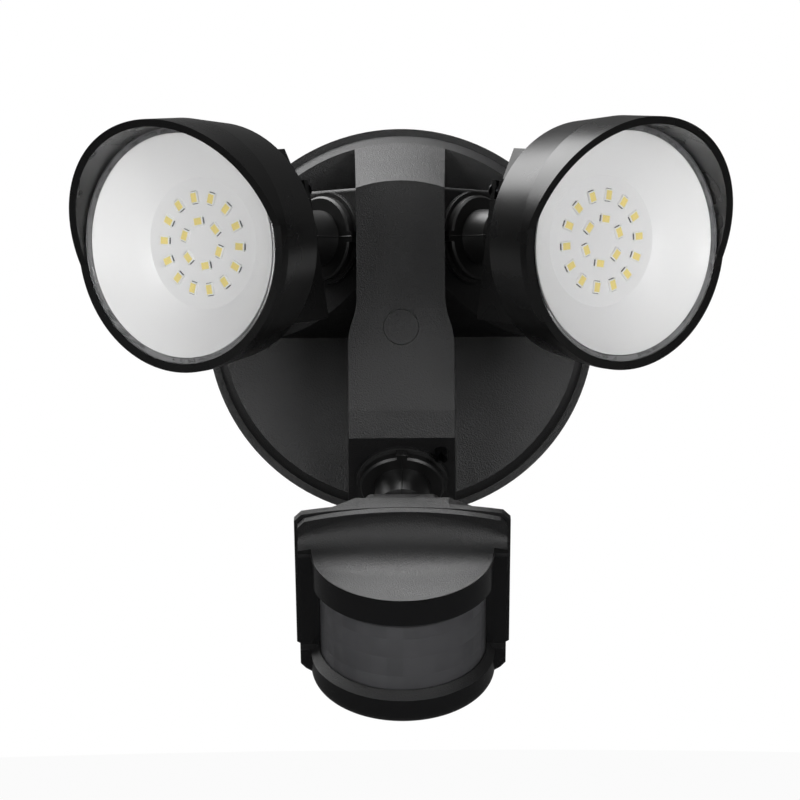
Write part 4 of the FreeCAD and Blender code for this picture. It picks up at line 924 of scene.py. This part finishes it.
case_screw = pan_screw("zinc_plated_steel", 2.1, 1.4, 1.25, 4.9)
screws = joined(screws_on(case_screw, CASE_SCREWS, head_frame("sensor")), "case_screws")
smooth(screws, 35)
put_on(screws, "sensor_pan_screws", "sensor_head", "zinc_steel", "sensor_case_screws")
driver_screw = pan_screw("zinc_plated_steel", 2.4, 1.5, 1.25, 5.4)
screws = joined(screws_on(driver_screw, DRIVER_SCREWS, Matrix()), "driver_screws")
smooth(screws, 35)
put_on(screws, "driver_pan_screws", "root", "zinc_steel", "driver_cover_screws")
for model in (case_screw, driver_screw):
    bpy.data.objects.remove(model)

# %% [markdown]
# Under the sensor stand three small nylon dials for time, light level and
# range.  Each is a short cylinder whose side is drawn in at every other face, so
# that ribs are left for a fingertip, with a bevelled rim and a screwdriver slot.

# %% The three dials
DIAL_RADIUS = 3.6
DIAL_HEIGHT = 2.8
DIAL_RIBS = 18
DIAL_GAP = 0.3
DIAL_FOOT = -42.9
DIAL_DEPTH = -21.0
DIAL_PITCH = 12.5
RIB_GROOVE = (0.12, -0.28)
SLOT = (1.0, 5.2, 1.9)
SHAFT_RADIUS = 1.4
SHAFT_LENGTH = 5.2
SHAFT_MIDDLE = 3.6

dial = start("cylinder", vertices=2 * DIAL_RIBS, radius=DIAL_RADIUS * MM,
             depth=(DIAL_HEIGHT - DIAL_GAP) * MM)
sides = [face.index for face in dial.data.polygons if abs(face.normal.z) < 0.1]
every_other = set(sides[::2])
pick_faces(dial, lambda face: face.index in every_other)
bpy.ops.mesh.inset(thickness=RIB_GROOVE[0] * MM, depth=RIB_GROOVE[1] * MM,
                   use_individual=True)
leave()
bevelled(dial, 0.1, 1, 60)
slot = start("cube", size=1, location=(0, 0, -DIAL_HEIGHT / 2 * MM))
slot.scale = [side * MM for side in SLOT]
apply_place(slot)
only(dial)
cut = dial.modifiers.new("slot", "BOOLEAN")
cut.operation = "DIFFERENCE"
cut.object = slot
bpy.ops.object.modifier_apply(modifier=cut.name)
bpy.data.objects.remove(slot)
shaft = start("cylinder", vertices=24, radius=SHAFT_RADIUS * MM,
              depth=SHAFT_LENGTH * MM, location=(0, 0, SHAFT_MIDDLE * MM))
apply_place(shaft)
dial = joined([dial, shaft], "dial")
dial.data.materials.append(finishes["moulded_grey_nylon"])
for number, word in zip((-1, 0, 1), ("time", "lux", "range")):
    middle = Vector((number * DIAL_PITCH, DIAL_DEPTH,
                     DIAL_FOOT - (DIAL_HEIGHT + DIAL_GAP) / 2)) * MM
    knob = copy_at(dial, head_frame("sensor") @ Matrix.Translation(middle))
    smooth(knob, 30)
    put_on(knob, f"{word}_ribbed_dial", f"sensor_{word}_dial", "grey_dial",
           f"sensor_{word}_dial")
bpy.data.objects.remove(dial)

# %% [markdown]
# The studio: a pale round floor well below the light and a pale surround.  The
# surround is bright only where the camera sees it directly; the light it gives
# is kept low so that the black plastic stays black.  The picture tells where the
# lamps were.  Faces that look at the camera are a little lighter than those that
# look sideways, so most light came from a box at each side of the camera.  The
# crown leans back and shines, more on its left, so a large box hung above and
# behind, to the left.  The sensor's roof shines between the two heads, so a
# smaller one hung straight overhead.  Two weak ones behind draw a thin line of
# light on round edges, and a small one beside the camera brightens the bowls.
# Each box has a grid in front, drawn as a narrow spread, so that more of its light
# goes to the object.  Polished black faces that look down would mirror the bright
# floor, where a studio would lay a black card, so the floor isn't seen in gloss.
# As the boxes hardly reach the floor, it is given a glow that only the camera
# sees, as the surround is.

# %% Floor
FLOOR_RADIUS = 2.5
FLOOR_HEIGHT = -0.45
FLOOR_GLOW = 0.96
FLOOR_SIDES = 96
FLOOR_ROUGHNESS = 0.8

floor = start("circle", vertices=FLOOR_SIDES, radius=FLOOR_RADIUS, fill_type="NGON",
              location=(0, 0, FLOOR_HEIGHT))
floor.name = "pale_floor"
floor_paint, tree, shader = new_material("matt_pale_floor")
shader.inputs["Base Color"].default_value = colour("ececec")
shader.inputs["Roughness"].default_value = FLOOR_ROUGHNESS
seen = add_node(tree, "ShaderNodeLightPath").outputs["Is Camera Ray"]
amount = add_node(tree, "ShaderNodeMath", {0: seen, 1: FLOOR_GLOW},
                  operation="MULTIPLY")
glow = add_node(tree, "ShaderNodeEmission", {"Color": colour("ffffff")})
pale = add_node(tree, "ShaderNodeMixShader",
                {0: amount.outputs[0], 1: shader.outputs["BSDF"],
                 2: glow.outputs["Emission"]})
tree.links.new(pale.outputs["Shader"], tree.nodes["Material Output"].inputs["Surface"])
floor.data.materials.append(floor_paint)
floor.visible_glossy = False
print(floor.name, "at", FLOOR_HEIGHT)

# %% Lights
# Name, place and side in metres, the angle that its grid leaves, and watts.
SOFT_BOXES = (
    ("left_box", (-0.70, -1.10, 0.06), 0.55, 60, 0.88),
    ("right_box", (0.70, -1.10, 0.04), 0.55, 60, 0.98),
    ("hanging_box", (-0.56, 0.34, 0.84), 0.9, 90, 3.8),
    ("top_box", (-0.04, 0.06, 1.05), 0.4, 40, 1.15),
    ("left_rim", (-0.85, 0.80, -0.08), 0.25, 60, 0.02),
    ("right_rim", (0.85, 0.80, -0.08), 0.25, 60, 0.02),
    ("camera_box", (0.10, -1.25, -0.10), 0.25, 60, 0.05),
)
AIM = Vector((0, -0.03, -0.01))
for name, spot, size, grid_angle, power in SOFT_BOXES:
    bpy.ops.object.light_add(type="AREA", location=spot)
    box = bpy.context.object
    box.name = name
    box.data.shape = "SQUARE"
    box.data.size = size
    box.data.energy = power
    box.data.spread = math.radians(grid_angle)
    box.rotation_euler = (AIM - Vector(spot)).to_track_quat("-Z", "Y").to_euler()
    print(name, power, "W")

# %% The surround
SURROUND_LIGHT = 0.10

world = bpy.data.worlds.new("studio_surround")
bpy.context.scene.world = world
world.use_nodes = True
sky = world.node_tree
seen = add_node(sky, "ShaderNodeLightPath").outputs["Is Camera Ray"]
dim = sky.nodes["Background"]
dim.inputs["Color"].default_value = colour("f4f4f4")
dim.inputs["Strength"].default_value = SURROUND_LIGHT
bright = add_node(sky, "ShaderNodeBackground",
                  {"Color": colour("ffffff"), "Strength": 1.0})
both = add_node(sky, "ShaderNodeMixShader",
                {0: seen, 1: dim.outputs[0], 2: bright.outputs[0]})
sky.links.new(both.outputs[0], sky.nodes["World Output"].inputs["Surface"])
bpy.context.scene.view_settings.view_transform = "Standard"
print("surround ready")

# %% [markdown]
# Last, the view layer is brought up to date.

# %% Bring the view layer up to date
bpy.context.view_layer.update()
